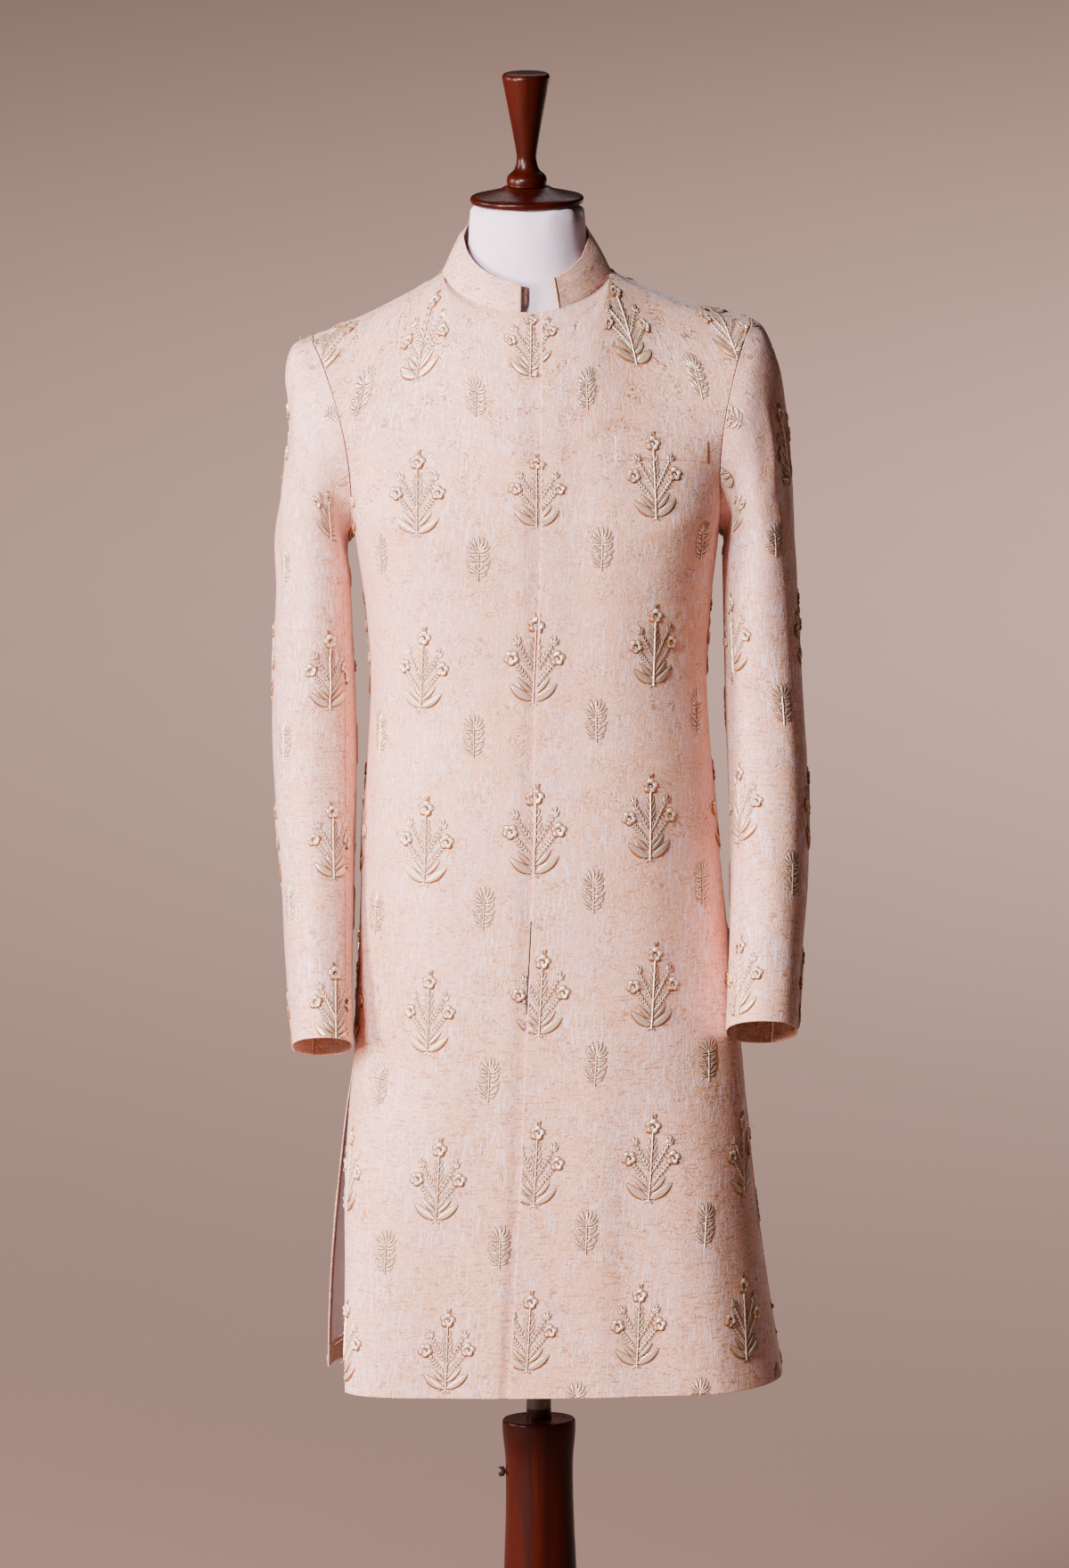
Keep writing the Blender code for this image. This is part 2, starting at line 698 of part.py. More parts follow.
def make_sleeve(side, rings):
    """A two-piece sleeve: the top half outside, the under half towards the body."""
    name = "left_sleeve" if side > 0 else "right_sleeve"
    front_seam, back_seam = SLEEVE_SEAMS
    spacing = (rings[-1][3] - rings[-1][2]).length
    gap = SEAM / 2 / spacing
    top = [front_seam + gap] + list(range(math.ceil(front_seam), math.ceil(back_seam)))
    top.append(back_seam - gap)
    under = [back_seam + gap]
    under += list(range(math.ceil(back_seam), RING + math.ceil(front_seam)))
    under.append(RING + front_seam - gap)
    centres = [sum(points, Vector()) / RING for points in rings]

    def inside(face):
        middle = face.calc_center_median()
        return min(centres, key=lambda centre: (centre - middle).length)

    for part, positions in (("top", top), ("under", under)):
        rows = [[ring_point(points, position) for position in positions] for points in rings]
        sheet(f"{name}_{part}", rows, jacquard, CLOTH, inside)


# ---------------------------------------------------------------- dress form
def form_ring(left, right, back, j):
    """One closed ring of coat points, with the side and shoulder pairs drawn together."""
    fronts = [point.copy() for point in left[j]], [point.copy() for point in right[j]]
    behind = [point.copy() for point in back[j]]
    joined = []
    if j <= len(HEM_ROWS):
        joined = [(0, 0, BACK_COLUMNS), (1, 0, 0)]
    if j == len(left) - 1:
        joined = [(0, i, BACK_COLUMNS - i) for i in range(NECK_COLUMN + 1)]
        joined += [(1, i, i) for i in range(NECK_COLUMN + 1)]
    for half, column, back_column in joined:
        middle = fronts[half][column].lerp(behind[back_column], 0.5)
        fronts[half][column] = middle
        behind[back_column] = middle.copy()
    return fronts[0] + fronts[1][::-1][1:] + behind


def columns_from_arm(i):
    """How many grid columns a place in a form ring lies from its armhole."""
    if i <= 2 * HALF_COLUMNS:
        return min(i, 2 * HALF_COLUMNS - i)
    column = i - 2 * HALF_COLUMNS - 1
    return min(column, BACK_COLUMNS - column)


def make_form(left, right, back):
    """A smooth closed torso inside the coat, with flat arm ends and a neck."""
    lowest = HEM_ROWS.index(0.815)
    top = len(left) - 1
    rings = [form_ring(left, right, back, j) for j in range(lowest, top + 1)]
    count = len(rings[0])
    rows = []
    for j, ring in enumerate(rings):
        v = max(j + lowest - len(HEM_ROWS), 0) / (len(YOKE_ROWS) - 1)
        last = j == len(rings) - 1
        row = []
        for i, point in enumerate(ring):
            tangent = ring[(i + 1) % count] - ring[i - 1]
            rising = rings[min(j + 1, len(rings) - 1)][i] - rings[max(j - 1, 0)][i]
            normal = tangent.cross(rising).normalized()
            if normal.dot(point - Vector((0, 0, point.z - 0.05))) < 0:
                normal = -normal
            on_shoulder = 1 - ease((columns_from_arm(i) - NECK_COLUMN + 1) / 2)
            if last and on_shoulder > 0:
                normal = Vector((0, 0, 1))
            slack = 1 - ease((v - 0.35) / 0.6) * on_shoulder
            moved = point - normal * (CLOTH + FORM_CLEAR + FORM_EASE * slack)
            if last and columns_from_arm(i) == NECK_COLUMN:
                moved += (Vector((FORM_NECK_X, 0, point.z)) - point).normalized() * FORM_EASE
            arm_end = ease((abs(moved.x) - 0.150) / 0.03) * ease(v / 0.15)
            moved.x -= math.copysign(ARM_END_CLEAR * arm_end, moved.x)
            row.append(moved)
        rows.append(row + [row[0]])
    for point in rows[0]:
        point.z = FORM_BOTTOM_Z
    for j in range(len(HEM_ROWS) - lowest + 1):
        merge_pair(rows[j], 0, count - 1)
        merge_pair(rows[j], 2 * HALF_COLUMNS, 2 * HALF_COLUMNS + 1)
    for i in range(NECK_COLUMN + 1):
        merge_pair(rows[-1], i, count - 1 - i)
        merge_pair(rows[-1], 2 * HALF_COLUMNS - i, 2 * HALF_COLUMNS + 1 + i)
    for row in rows:
        row[-1] = row[0].copy()
    bm = bmesh.new()
    bmesh.ops.create_grid(bm, x_segments=count, y_segments=len(rows) - 1, size=1)
    bm.verts.ensure_lookup_table()
    for j, row in enumerate(rows):
        for i, point in enumerate(row):
            bm.verts[j * (count + 1) + i].co = point
    bmesh.ops.remove_doubles(bm, verts=bm.verts, dist=0.00001)
    edges = [edge for edge in bm.edges
             if edge.is_boundary and edge.verts[0].co.z > CHEST_Z]
    for z, radius, forward in NECK_RINGS:
        grown = bmesh.ops.extrude_edge_only(bm, edges=edges)["geom"]
        edges = [item for item in grown if isinstance(item, bmesh.types.BMEdge)]
        centre = Vector((FORM_NECK_X, forward))
        for item in grown:
            if isinstance(item, bmesh.types.BMVert):
                away = (item.co.xy - centre).normalized()
                item.co = (*(centre + away * radius), z)
    bmesh.ops.holes_fill(bm, edges=[edge for edge in bm.edges if edge.is_boundary], sides=0)
    bmesh.ops.recalc_face_normals(bm, faces=bm.faces)
    mesh = bpy.data.meshes.new("form_body")
    bm.to_mesh(mesh)
    bm.free()
    mesh.shade_smooth()
    add_object("form_body", mesh, jersey)


def merge_pair(row, first, second):
    middle = row[first].lerp(row[second], 0.5)
    row[first] = middle
    row[second] = middle.copy()


def make_neck_turnings():
    """The wooden neck cap and its finial."""
    rim = NECK_TOP_Z + SEAM
    cap = [
        (0, rim + 0.0165), (0.021, rim + 0.0160), (0.026, rim + 0.0135), (0.046, rim + 0.0085),
        (CAP_RADIUS - 0.001, rim + 0.0065), (CAP_RADIUS, rim + 0.0040),
        (CAP_RADIUS - 0.0015, rim), (0, rim),
    ]
    turned("neck_cap", cap, wood)
    foot = rim + 0.0165 + SEAM
    finial = [
        (0, foot + 0.1090), (0.0195, foot + 0.1080), (0.0222, foot + 0.1060),
        (0.0225, foot + 0.1025), (0.0208, foot + 0.0930), (0.0165, foot + 0.0700),
        (0.0125, foot + 0.0480), (0.0098, foot + 0.0320), (0.0095, foot + 0.0240),
        (0.0120, foot + 0.0155), (0.0165, foot + 0.0110), (0.0188, foot + 0.0075),
        (0.0190, foot + 0.0035), (0.0180, foot), (0, foot),
    ]
    turned("neck_finial", finial, wood, steps=20)
    for name in ("neck_cap", "neck_finial"):
        made = bpy.data.objects[name]
        made.location = (FORM_NECK_X, NECK_RINGS[-1][2], 0)


# ---------------------------------------------------------------- stand
def make_stand():
    base = [
        (0, BASE_HEIGHT), (BASE_RADIUS - 0.016, BASE_HEIGHT),
        (BASE_RADIUS - 0.006, BASE_HEIGHT - 0.003), (BASE_RADIUS, BASE_HEIGHT - 0.011),
        (BASE_RADIUS, 0.005), (BASE_RADIUS - 0.004, 0), (0, 0),
    ]
    turned("stand_base", base, wood, steps=36)
    foot_z = BASE_HEIGHT + SEAM
    bore = ROD_RADIUS + RUN
    post = [
        (0, BORE_BOTTOM_Z), (bore, BORE_BOTTOM_Z), (bore, POST_TOP_Z),
        (0.0330, POST_TOP_Z), (0.0350, POST_TOP_Z - 0.002), (0.0348, POST_TOP_Z - 0.014),
        (0.0325, POST_TOP_Z - 0.036), (0.0323, POST_TOP_Z - 0.058),
        (0.0345, POST_TOP_Z - 0.140), (0.0390, 0.130), (0.0450, 0.082),
        (POST_FOOT_RADIUS - 0.003, 0.060), (POST_FOOT_RADIUS, 0.050),
        (POST_FOOT_RADIUS, foot_z), (0, foot_z),
    ]
    made = turned("stand_post", post, wood)
    drill_screw_hole(made)
    rod_top = FORM_BOTTOM_Z - SEAM - 0.004
    add_rod("stand_rod", rod_top)
    socket_top = FORM_BOTTOM_Z - SEAM
    socket = [
        (0, socket_top), (SOCKET_RADIUS, socket_top), (SOCKET_RADIUS, socket_top - 0.004),
        (0.0200, socket_top - 0.010), (0.0180, socket_top - SOCKET_HEIGHT + 0.002),
        (0.0165, socket_top - SOCKET_HEIGHT), (bore, socket_top - SOCKET_HEIGHT),
        (bore, rod_top + RUN), (0, rod_top + RUN),
    ]
    turned("form_socket", socket, iron)


def add_rod(name, top):
    bpy.ops.mesh.primitive_cylinder_add(vertices=FACETS, radius=ROD_RADIUS, depth=top - ROD_BOTTOM_Z,
                                        location=(0, 0, (top + ROD_BOTTOM_Z) / 2))
    place_primitive(name, iron)


def place_primitive(name, finish):
    made = bpy.context.active_object
    for owner in list(made.users_collection):
        owner.objects.unlink(made)
    collection.objects.link(made)
    made.name = name
    made.data.materials.append(finish)
    made.data.shade_smooth()
    made.data.set_sharp_from_angle(angle=math.radians(40))
    return made


def drill_screw_hole(post):
    bpy.ops.mesh.primitive_cylinder_add(vertices=12, radius=SCREW_SHANK_RADIUS + RUN, depth=0.040,
                                        location=(-0.030, 0, SCREW_Z), rotation=(0, math.pi / 2, 0))
    cutter = bpy.context.active_object
    for owner in list(cutter.users_collection):
        owner.objects.unlink(cutter)
    cutters.objects.link(cutter)
    cutter.name = "screw_hole_cutter"
    cutter.hide_render = True
    cutter.display_type = "WIRE"
    cut = post.modifiers.new("screw_hole", "BOOLEAN")
    cut.operation = "DIFFERENCE"
    cut.object = cutter


def make_clamp_screw():
    """A thumb screw through the post's wall, whose tip holds the rod; it lies along X."""
    tip = ROD_RADIUS + SEAM
    seat = 0.0329
    head = [
        (0, seat + SCREW_HEAD_LENGTH), (SCREW_HEAD_RADIUS - 0.0008, seat + SCREW_HEAD_LENGTH),
        (SCREW_HEAD_RADIUS, seat + SCREW_HEAD_LENGTH - 0.0010), (SCREW_HEAD_RADIUS, seat + 0.0012),
        (SCREW_HEAD_RADIUS - 0.0012, seat), (SCREW_SHANK_RADIUS, seat),
        (SCREW_SHANK_RADIUS, tip), (0, tip),
    ]
    made = turned("clamp_screw", head, iron, steps=16)
    made.location = (0, 0, SCREW_Z)
    made.rotation_euler = (0, -math.pi / 2, 0)


# ---------------------------------------------------------------- build
for old in list(bpy.data.objects):
    bpy.data.objects.remove(old)

collection = bpy.data.collections.new("sherwani_coat_on_dress_form")
cutters = bpy.data.collections.new("cutters")
bpy.context.scene.collection.children.link(collection)
bpy.context.scene.collection.children.link(cutters)

jacquard = material("jacquard", (0.62, 0.55, 0.46), 0.5)
satin = material("satin_lining", (0.80, 0.79, 0.76), 0.35)
jersey = material("form_jersey", (0.74, 0.74, 0.72), 0.85)
wood = material("turned_wood", (0.16, 0.05, 0.03), 0.35)
iron = material("dark_metal", (0.09, 0.08, 0.08), 0.45, metallic=1.0)

left_rows = half_front_rows(1)
right_rows = half_front_rows(-1)
rear_rows = back_rows()
join_seams(left_rows, right_rows, rear_rows)

make_body(left_rows, right_rows, rear_rows)
make_back_lining(rear_rows)
make_collar(left_rows, right_rows, rear_rows)
make_welt(left_rows)
for wearer_side in (-1, 1):
    rings = sleeve_rings(wearer_side, {1: left_rows, -1: right_rows}, rear_rows)
    make_sleeve(wearer_side, rings)
make_form(left_rows, right_rows, rear_rows)
make_neck_turnings()
make_stand()
make_clamp_screw()
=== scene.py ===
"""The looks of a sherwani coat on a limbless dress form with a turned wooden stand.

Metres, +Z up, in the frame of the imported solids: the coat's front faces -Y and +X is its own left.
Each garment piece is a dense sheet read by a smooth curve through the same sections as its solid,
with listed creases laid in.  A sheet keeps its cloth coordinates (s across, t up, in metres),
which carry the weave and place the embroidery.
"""
import random
from math import acos, atan2, copysign, cos, exp, floor, hypot, pi, radians, sin
from math import degrees as in_degrees

import bmesh
import bpy
import numpy as np
from mathutils import Matrix, Vector


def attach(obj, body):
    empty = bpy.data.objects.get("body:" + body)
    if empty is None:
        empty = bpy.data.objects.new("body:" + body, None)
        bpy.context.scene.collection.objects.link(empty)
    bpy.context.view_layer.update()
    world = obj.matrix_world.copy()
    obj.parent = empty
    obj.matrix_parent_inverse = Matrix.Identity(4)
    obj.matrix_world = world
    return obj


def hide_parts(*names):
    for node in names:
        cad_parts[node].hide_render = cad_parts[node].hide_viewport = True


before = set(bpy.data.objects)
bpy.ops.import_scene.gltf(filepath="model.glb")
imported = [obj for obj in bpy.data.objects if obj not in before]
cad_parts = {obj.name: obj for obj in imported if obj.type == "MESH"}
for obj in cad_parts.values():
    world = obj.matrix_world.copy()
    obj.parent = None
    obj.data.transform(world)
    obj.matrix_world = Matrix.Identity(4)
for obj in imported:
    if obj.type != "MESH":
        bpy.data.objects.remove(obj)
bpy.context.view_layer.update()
FIGURE = "figure"


def mm(*rows):
    """A table of metres from rows of millimetres."""
    return tuple(tuple(value / 1000 for value in row) for row in rows)


# ---------------------------------------------------------------- the coat's sections
CLOTH = 0.0016            # wall of the coat, as in its solids
SEAM = 0.0003
CREST_SEAM = 0.0006
HEAD_SEAM = 0.0007
HEM_Z = 0.432
SLIT_Z = 0.745            # top of the side slits
CHEST_Z = 1.244           # underarm level
FRONT_LAP = 0.0011        # between the two fronts
# level sections: distances from the stand's axis to the cloth's outer face
# columns: z, left, right, front, back, corner, square
BODY = (
    (HEM_Z, 0.193, 0.231, 0.142, 0.15, 4.4, 2.9), (0.51, 0.192, 0.219, 0.138, 0.147, 4.0, 2.8),
    (0.597, 0.187, 0.209, 0.134, 0.143, 3.6, 2.7), (0.683, 0.18, 0.202, 0.13, 0.139, 3.0, 2.6),
    (0.76, 0.173, 0.197, 0.127, 0.135, 2.6, 2.5), (0.855, 0.168, 0.185, 0.124, 0.131, 2.5, 2.5),
    (0.942, 0.165, 0.177, 0.121, 0.126, 2.4, 2.4), (1.028, 0.159, 0.171, 0.117, 0.119, 2.4, 2.4),
    (1.106, 0.155, 0.167, 0.115, 0.113, 2.4, 2.4), (1.157, 0.157, 0.169, 0.119, 0.116, 2.45, 2.45),
    (1.201, 0.162, 0.173, 0.1235, 0.122, 2.55, 2.55),
    (CHEST_Z, 0.168, 0.1785, 0.127, 0.128, 2.7, 2.7),
)
# the left front's lapping edge: z, x
CLOSURE = mm((432, -29), (510, -24), (640, -16), (780, -9), (900, -2), (1090, 2), (1244, 9),
             (1475, 11))
UNDERLAP_COLUMNS = 2      # grid columns of the right front that lie under the left one
# side edges of the slit skirt, as angles round the section, and how far they swing out
# columns: drop, right_front, right_back, left_front, left_back, swing
SLIT = (
    (0.0, 0.0, 0.0, 0.0, 0.0, 0.0), (0.25, 9.0, 3.0, 0.4, 1.2, 0.003),
    (0.6, 22.0, 6.0, 1.5, 3.0, 0.007), (1.0, 26.0, 8.0, 3.0, 5.0, 0.01),
)
# shoulders and neck: side is -1 at the coat's right (-X) and +1 at its left
SHOULDER = {-1: Vector((-0.208, 0, 1.439)), 1: Vector((0.213, 0, 1.453))}
SHOULDER_HOLLOW = 0.004
SHOULDER_CROWN = 0.17     # how full the shoulders are beside the neck
NECK_CENTRE = Vector((-0.002, -0.002))
NECK_HALF_WIDTH = 0.0805
NECK_FRONT = 0.083
NECK_BACK = 0.07
NECK_SIDE_Z = 1.496
NECK_FRONT_DROP = 0.026
NECK_BACK_RISE = 0.012
NECK_CLOSURE = in_degrees(acos((CLOSURE[-1][1] - NECK_CENTRE.x) / NECK_HALF_WIDTH))
# the armhole from underarm to shoulder
# columns: v, rise, front_bow, back_bow, inset
ARMHOLE = (
    (0.0, 0.0, 0.0, 0.0, 0.0), (0.13, 0.12, 0.036, 0.034, 0.003),
    (0.27, 0.265, 0.06, 0.055, 0.008), (0.42, 0.43, 0.074, 0.067, 0.012),
    (0.57, 0.59, 0.076, 0.069, 0.013), (0.71, 0.75, 0.066, 0.062, 0.011),
    (0.84, 0.885, 0.046, 0.046, 0.007), (0.94, 0.968, 0.023, 0.024, 0.002),
    (1.0, 1.0, 0.0, 0.0, 0.0),
)
# centre lines above the chest, from chest to neck: v, rise, front, back
CENTRE = (
    (0.0, 0.0, 0.127, 0.128), (0.13, 0.13, 0.129, 0.132), (0.27, 0.27, 0.129, 0.134),
    (0.42, 0.42, 0.1265, 0.133), (0.57, 0.57, 0.121, 0.129), (0.71, 0.71, 0.113, 0.119),
    (0.84, 0.84, 0.102, 0.103), (0.94, 0.94, 0.092, 0.085), (1.0, 1.0, 0.085, 0.072),
)
# grid
HEM_ROWS = (HEM_Z, 0.49, 0.555, 0.62, 0.685, SLIT_Z, 0.815, 0.89, 0.965, 1.035, 1.106, 1.175)
YOKE_ROWS = tuple(row[0] for row in ARMHOLE)
HALF_COLUMNS = 12         # a front half, side to closure edge
NECK_COLUMN = 6           # where the shoulder seam ends and the neckline begins
BACK_COLUMNS = 18
NECK_SHARE = {True: NECK_COLUMN / HALF_COLUMNS, False: NECK_COLUMN / (BACK_COLUMNS // 2)}
# large soft folds: columns: angle, z_low, z_high, spread, depth, lean
FOLDS = (
    (38, 0.4, 0.86, 9, 0.005, 0), (60, 0.38, 0.78, 8, -0.004, 4), (128, 0.38, 0.74, 9, -0.004, -5),
    (148, 0.4, 0.8, 8, 0.004, -3), (228, 0.38, 0.95, 11, 0.006, 3), (252, 0.38, 0.9, 9, -0.005, 2),
    (288, 0.38, 0.95, 9, -0.005, -2), (312, 0.38, 0.92, 11, 0.006, -3),
)
# sleeves: outer and inner edges seen from the front, the centre's depth and the half depth
SLEEVE_LENGTH = 0.678
BICEPS_DROP = 0.24
# columns: drop, outer, inner, depth, half_depth
SLEEVE = {
    -1: mm((195, 241.4, 173.5, 4, 67), (240, 243, 172.5, 5, 66), (320, 246.5, 169.5, 8, 64),
           (390, 248, 168, 8, 61), (455, 246, 169, 0, 59), (540, 239.5, 172, -20, 56),
           (610, 236, 174, -42, 54), (678, 232, 174, -66, 52)),
    1: mm((195, 250, 183, 4, 67), (240, 252, 182, 5, 66), (320, 256, 183, 6, 64),
          (390, 260, 184, 4, 61), (455, 262, 186, -8, 59), (540, 260, 187, -34, 56),
          (610, 255, 185, -60, 54), (678, 250, 181, -87, 52)),
}
SLEEVE_POWER = 2.3        # roundness of a sleeve's section
TILT_STEP = 0.01          # along the sleeve, for its section's tilt
HEAD_FULLNESS = {-1: 0.66, 1: 0.46}    # how far the head stands out past the shoulder seam
# dents where the empty sleeve falls in, as positions round the ring and drops from the shoulder
# columns: position, drop, spread_round, spread_along, depth
SLEEVE_DENTS = {
    -1: ((8.5, 0.1, 3.4, 0.052, 0.022), (8.0, -0.005, 3.0, 0.015, -0.01),
         (4.5, 0.2, 1.6, 0.05, 0.003)),
    1: ((6.5, 0.15, 1.8, 0.06, 0.0045), (9.5, 0.06, 1.6, 0.035, 0.003),
        (8.0, 0.005, 3.0, 0.02, 0.005)),
}
RING = 16                 # vertices round a sleeve: 0 under the arm, 4 front, 8 outside, 12 back
SLEEVE_SEAMS = (2.5, 11.5)
CAP_RINGS = 6
TUBE_RINGS = 10


def hermite(t, start, end, lead, trail):
    """A point on a smooth curve, from its ends and its slopes there."""
    return (start * (2 * t**3 - 3 * t**2 + 1) + lead * (t**3 - 2 * t**2 + t)
            + end * (3 * t**2 - 2 * t**3) + trail * (t**3 - t**2))


def smooth(table, at):
    """The table's other columns at a value of its first, on a smooth curve through its rows."""
    keys = [row[0] for row in table]
    at = min(max(at, keys[0]), keys[-1])
    low = max(i for i in range(len(keys) - 1) if keys[i] <= at)
    span = keys[low + 1] - keys[low]

    def slope(i, column):
        before, after = max(i - 1, 0), min(i + 1, len(keys) - 1)
        return (table[after][column] - table[before][column]) / (keys[after] - keys[before])

    return [hermite((at - keys[low]) / span, table[low][k], table[low + 1][k],
                    span * slope(low, k), span * slope(low + 1, k))
            for k in range(1, len(table[0]))]


def ease(t):
    t = min(max(t, 0.0), 1.0)
    return t * t * (3 - 2 * t)


def fold_at(turn, z):
    total = 0.0
    for angle, z_low, z_high, spread, depth, lean in FOLDS:
        middle = (z_low + z_high) / 2
        away = (turn - (angle + lean * (z - middle) / (z_high - z_low))) / spread
        fade = ease((z_high - z) / (z_high - middle)) * ease((z - z_low + 0.2) / 0.2)
        total += depth * exp(-away * away) * fade
    return total


def outline(c, s, wide, deep, power):
    """The radius of a rounded box's outline in the direction (c, s)."""
    return ((abs(c) / wide) ** power + (abs(s) / deep) ** power) ** (-1 / power)


def body_point(turn, z):
    """The cloth's outer face at an angle round the coat: 0 at +X, 90 in front, 180 at -X."""
    left, right, front, back, corner, square = smooth(BODY, z)
    c, s = cos(radians(turn)), sin(radians(turn))
    radius = outline(c, s, (right + left) / 2, front if s > 0 else back,
                     corner if s > 0 and c < 0 else square) + fold_at(turn % 360, z)
    return Vector(((right - left) / 2 + radius * c, -radius * s, z))


def closure_angle(z):
    left, right, front = smooth(BODY, z)[:3]
    return in_degrees(atan2(front, smooth(CLOSURE, z)[0] - (right - left) / 2))


def slit(z):
    return smooth(SLIT, (SLIT_Z - z) / (SLIT_Z - HEM_Z))


def swung(point, amount, reach):
    """A point near a slit's edge, moved outwards; reach falls from 1 at the edge to 0."""
    return point + Vector((point.x, point.y, 0)).normalized() * amount * ease(reach)


def neck_point(turn):
    """The neckline: 0 at +X, 90 in front, 180 at -X."""
    c, s = cos(radians(turn)), sin(radians(turn))
    z = NECK_SIDE_Z - NECK_FRONT_DROP * max(s, 0) ** 1.4 + NECK_BACK_RISE * max(-s, 0) ** 1.4
    return Vector((NECK_CENTRE.x + NECK_HALF_WIDTH * c,
                   NECK_CENTRE.y - (NECK_FRONT if s > 0 else NECK_BACK) * s, z))


def armhole_point(side, v, front):
    rise, front_bow, back_bow, inset = smooth(ARMHOLE, v)
    point = body_point(0 if side > 0 else 180, CHEST_Z).lerp(SHOULDER[side], rise)
    return point + Vector((-side * inset, -front_bow if front else back_bow, 0))


def centre_point(v, front):
    rise, front_depth, back_depth = smooth(CENTRE, v)
    foot = body_point(closure_angle(CHEST_Z) if front else 270, CHEST_Z)
    point = foot.lerp(neck_point(NECK_CLOSURE if front else 270), rise)
    return Vector((point.x, -front_depth if front else back_depth, point.z))


def yoke_top(side, u, front):
    """The upper edge of a panel's half: shoulder seam, then neckline to the centre."""
    at_side = 0 if side > 0 else 180
    share = NECK_SHARE[front]
    if u <= share:
        t = u / share
        hollow = SHOULDER_HOLLOW * sin(pi * t)
        return SHOULDER[side].lerp(neck_point(at_side), t) - Vector((0, 0, hollow))
    start = 360 if side > 0 and not front else at_side
    end = NECK_CLOSURE if front else 270
    return neck_point(start + (end - start) * (u - share) / (1 - share))


def rounded_top(side, u, v, front):
    """The upper edge as a lower row follows it: the corner beside the neck is rounded off."""
    reach = min(0.6 * (1 - v), u, 1 - u)
    return sum((yoke_top(side, u + reach * step, front) * weight / 9
                for step, weight in ((-1.0, 1), (-0.5, 2), (0.0, 3), (0.5, 2), (1.0, 1))), Vector())


def yoke_point(side, u, v, front):
    """Above the chest: a patch between armhole, centre line, chest line and upper edge."""
    start = 180 if side < 0 else 0 if front else 360
    end = closure_angle(CHEST_Z) if front else 270
    chest = body_point(start + (end - start) * u, CHEST_Z)
    top = rounded_top(side, u, v, front)
    arm, centre = armhole_point(side, v, front), centre_point(v, front)
    foot, head = centre_point(0, front), yoke_top(side, 1, front)
    w, e = ease(u), ease(v)
    corners = (armhole_point(side, 0, front) * (1 - w) * (1 - e) + foot * w * (1 - e)
               + armhole_point(side, 1, front) * (1 - w) * e + head * w * e)
    point = arm * (1 - w) + centre * w + chest * (1 - e) + top * e - corners
    # in depth a level section keeps the chest's round shape, and flattens to the shoulder seam's
    share = NECK_SHARE[front]
    near_top = ease((v - 0.75) / 0.25)
    top_share = top.y / head.y * near_top + ease((u - share + 0.2) / 0.7) * (1 - near_top)
    point.y = arm.y + (centre.y - arm.y) * (chest.y / foot.y * (1 - e) + top_share * e)
    from_neck = u / share if u < share else (1 - u) / (1 - share)
    point.z += SHOULDER_CROWN * ease(from_neck) * v**4 * (1 - v)
    return point


def half_front_rows(side):
    """Rows of points from the side edge to the closure edge."""
    shares = [i / HALF_COLUMNS for i in range(HALF_COLUMNS + 1)]
    rows = []
    for z in HEM_ROWS:
        right_front, _, left_front, _, swing = slit(z)
        edge = left_front if side > 0 else 180 - right_front
        row = [body_point(edge + (closure_angle(z) - edge) * u, z) for u in shares]
        if side > 0:
            row = [swung(point, swing * 0.3, 1 - 3 * u) for point, u in zip(row, shares)]
        rows.append(row)
    return rows + [[yoke_point(side, u, v, True) for u in shares] for v in YOKE_ROWS]


def back_rows():
    """Rows of points from the right side (-X) round the back to the left side."""
    half = BACK_COLUMNS // 2
    rows = []
    for z in HEM_ROWS:
        _, right_back, _, left_back, swing = slit(z)
        start, end = 180 + right_back, 360 - left_back
        row = []
        for i in range(BACK_COLUMNS + 1):
            u = i / BACK_COLUMNS
            point = swung(body_point(start + (end - start) * u, z), swing, 1 - 5 * u)
            row.append(swung(point, swing * 0.3, 1 - 5 * (1 - u)))
        rows.append(row)
    for v in YOKE_ROWS:
        right, left = ([yoke_point(side, i / half, v, False) for i in range(half + 1)]
                       for side in (-1, 1))
        rows.append(right + left[-2::-1])
    return rows


def join_seams(left, right, back):
    """Seam points lie halfway between the neighbours on both sides, half a gap back."""
    def join(front, j, i, column, middle, gap):
        half_gap = Vector((0, gap / 2, 0))
        front[j][i] = middle - half_gap
        back[j][column] = middle + half_gap

    for j in range(HEM_ROWS.index(SLIT_Z), len(HEM_ROWS) + 1):
        for front, column, beside in ((left, -1, -2), (right, 0, 1)):
            join(front, j, 0, column, front[j][1].lerp(back[j][beside], 0.5), SEAM)
    for i in range(NECK_COLUMN + 1):
        row = -2 if i < NECK_COLUMN else -1
        for front, column in ((left, BACK_COLUMNS - i), (right, i)):
            join(front, -1, i, column, front[row][i].lerp(back[row][column], 0.5), CREST_SEAM)


def moved_in(rows, amount):
    """Rows of points moved in along the grid's normals, towards the coat's axis."""
    moved = []
    for j, row in enumerate(rows):
        below, above = rows[max(j - 1, 0)], rows[min(j + 1, len(rows) - 1)]
        inside = Vector((0, 0, row[0].z - 0.05))
        moved.append([])
        for i, point in enumerate(row):
            run = row[min(i + 1, len(row) - 1)] - row[max(i - 1, 0)]
            normal = run.cross(above[i] - below[i]).normalized()
            moved[-1].append(point - normal * copysign(amount, normal.dot(point - inside)))
    return moved


def neckline(left, right, back):
    """The panels' own top points from the collar's right end round the back to its left end."""
    def end_point(row):
        edge, beside = row[HALF_COLUMNS], row[HALF_COLUMNS - 1]
        return edge.lerp(beside, COLLAR_END / (beside - edge).length)

    return ([end_point(right[-1])] + right[-1][HALF_COLUMNS - 1:NECK_COLUMN:-1]
            + back[-1][NECK_COLUMN:BACK_COLUMNS - NECK_COLUMN + 1]
            + left[-1][NECK_COLUMN + 1:HALF_COLUMNS] + [end_point(left[-1])])


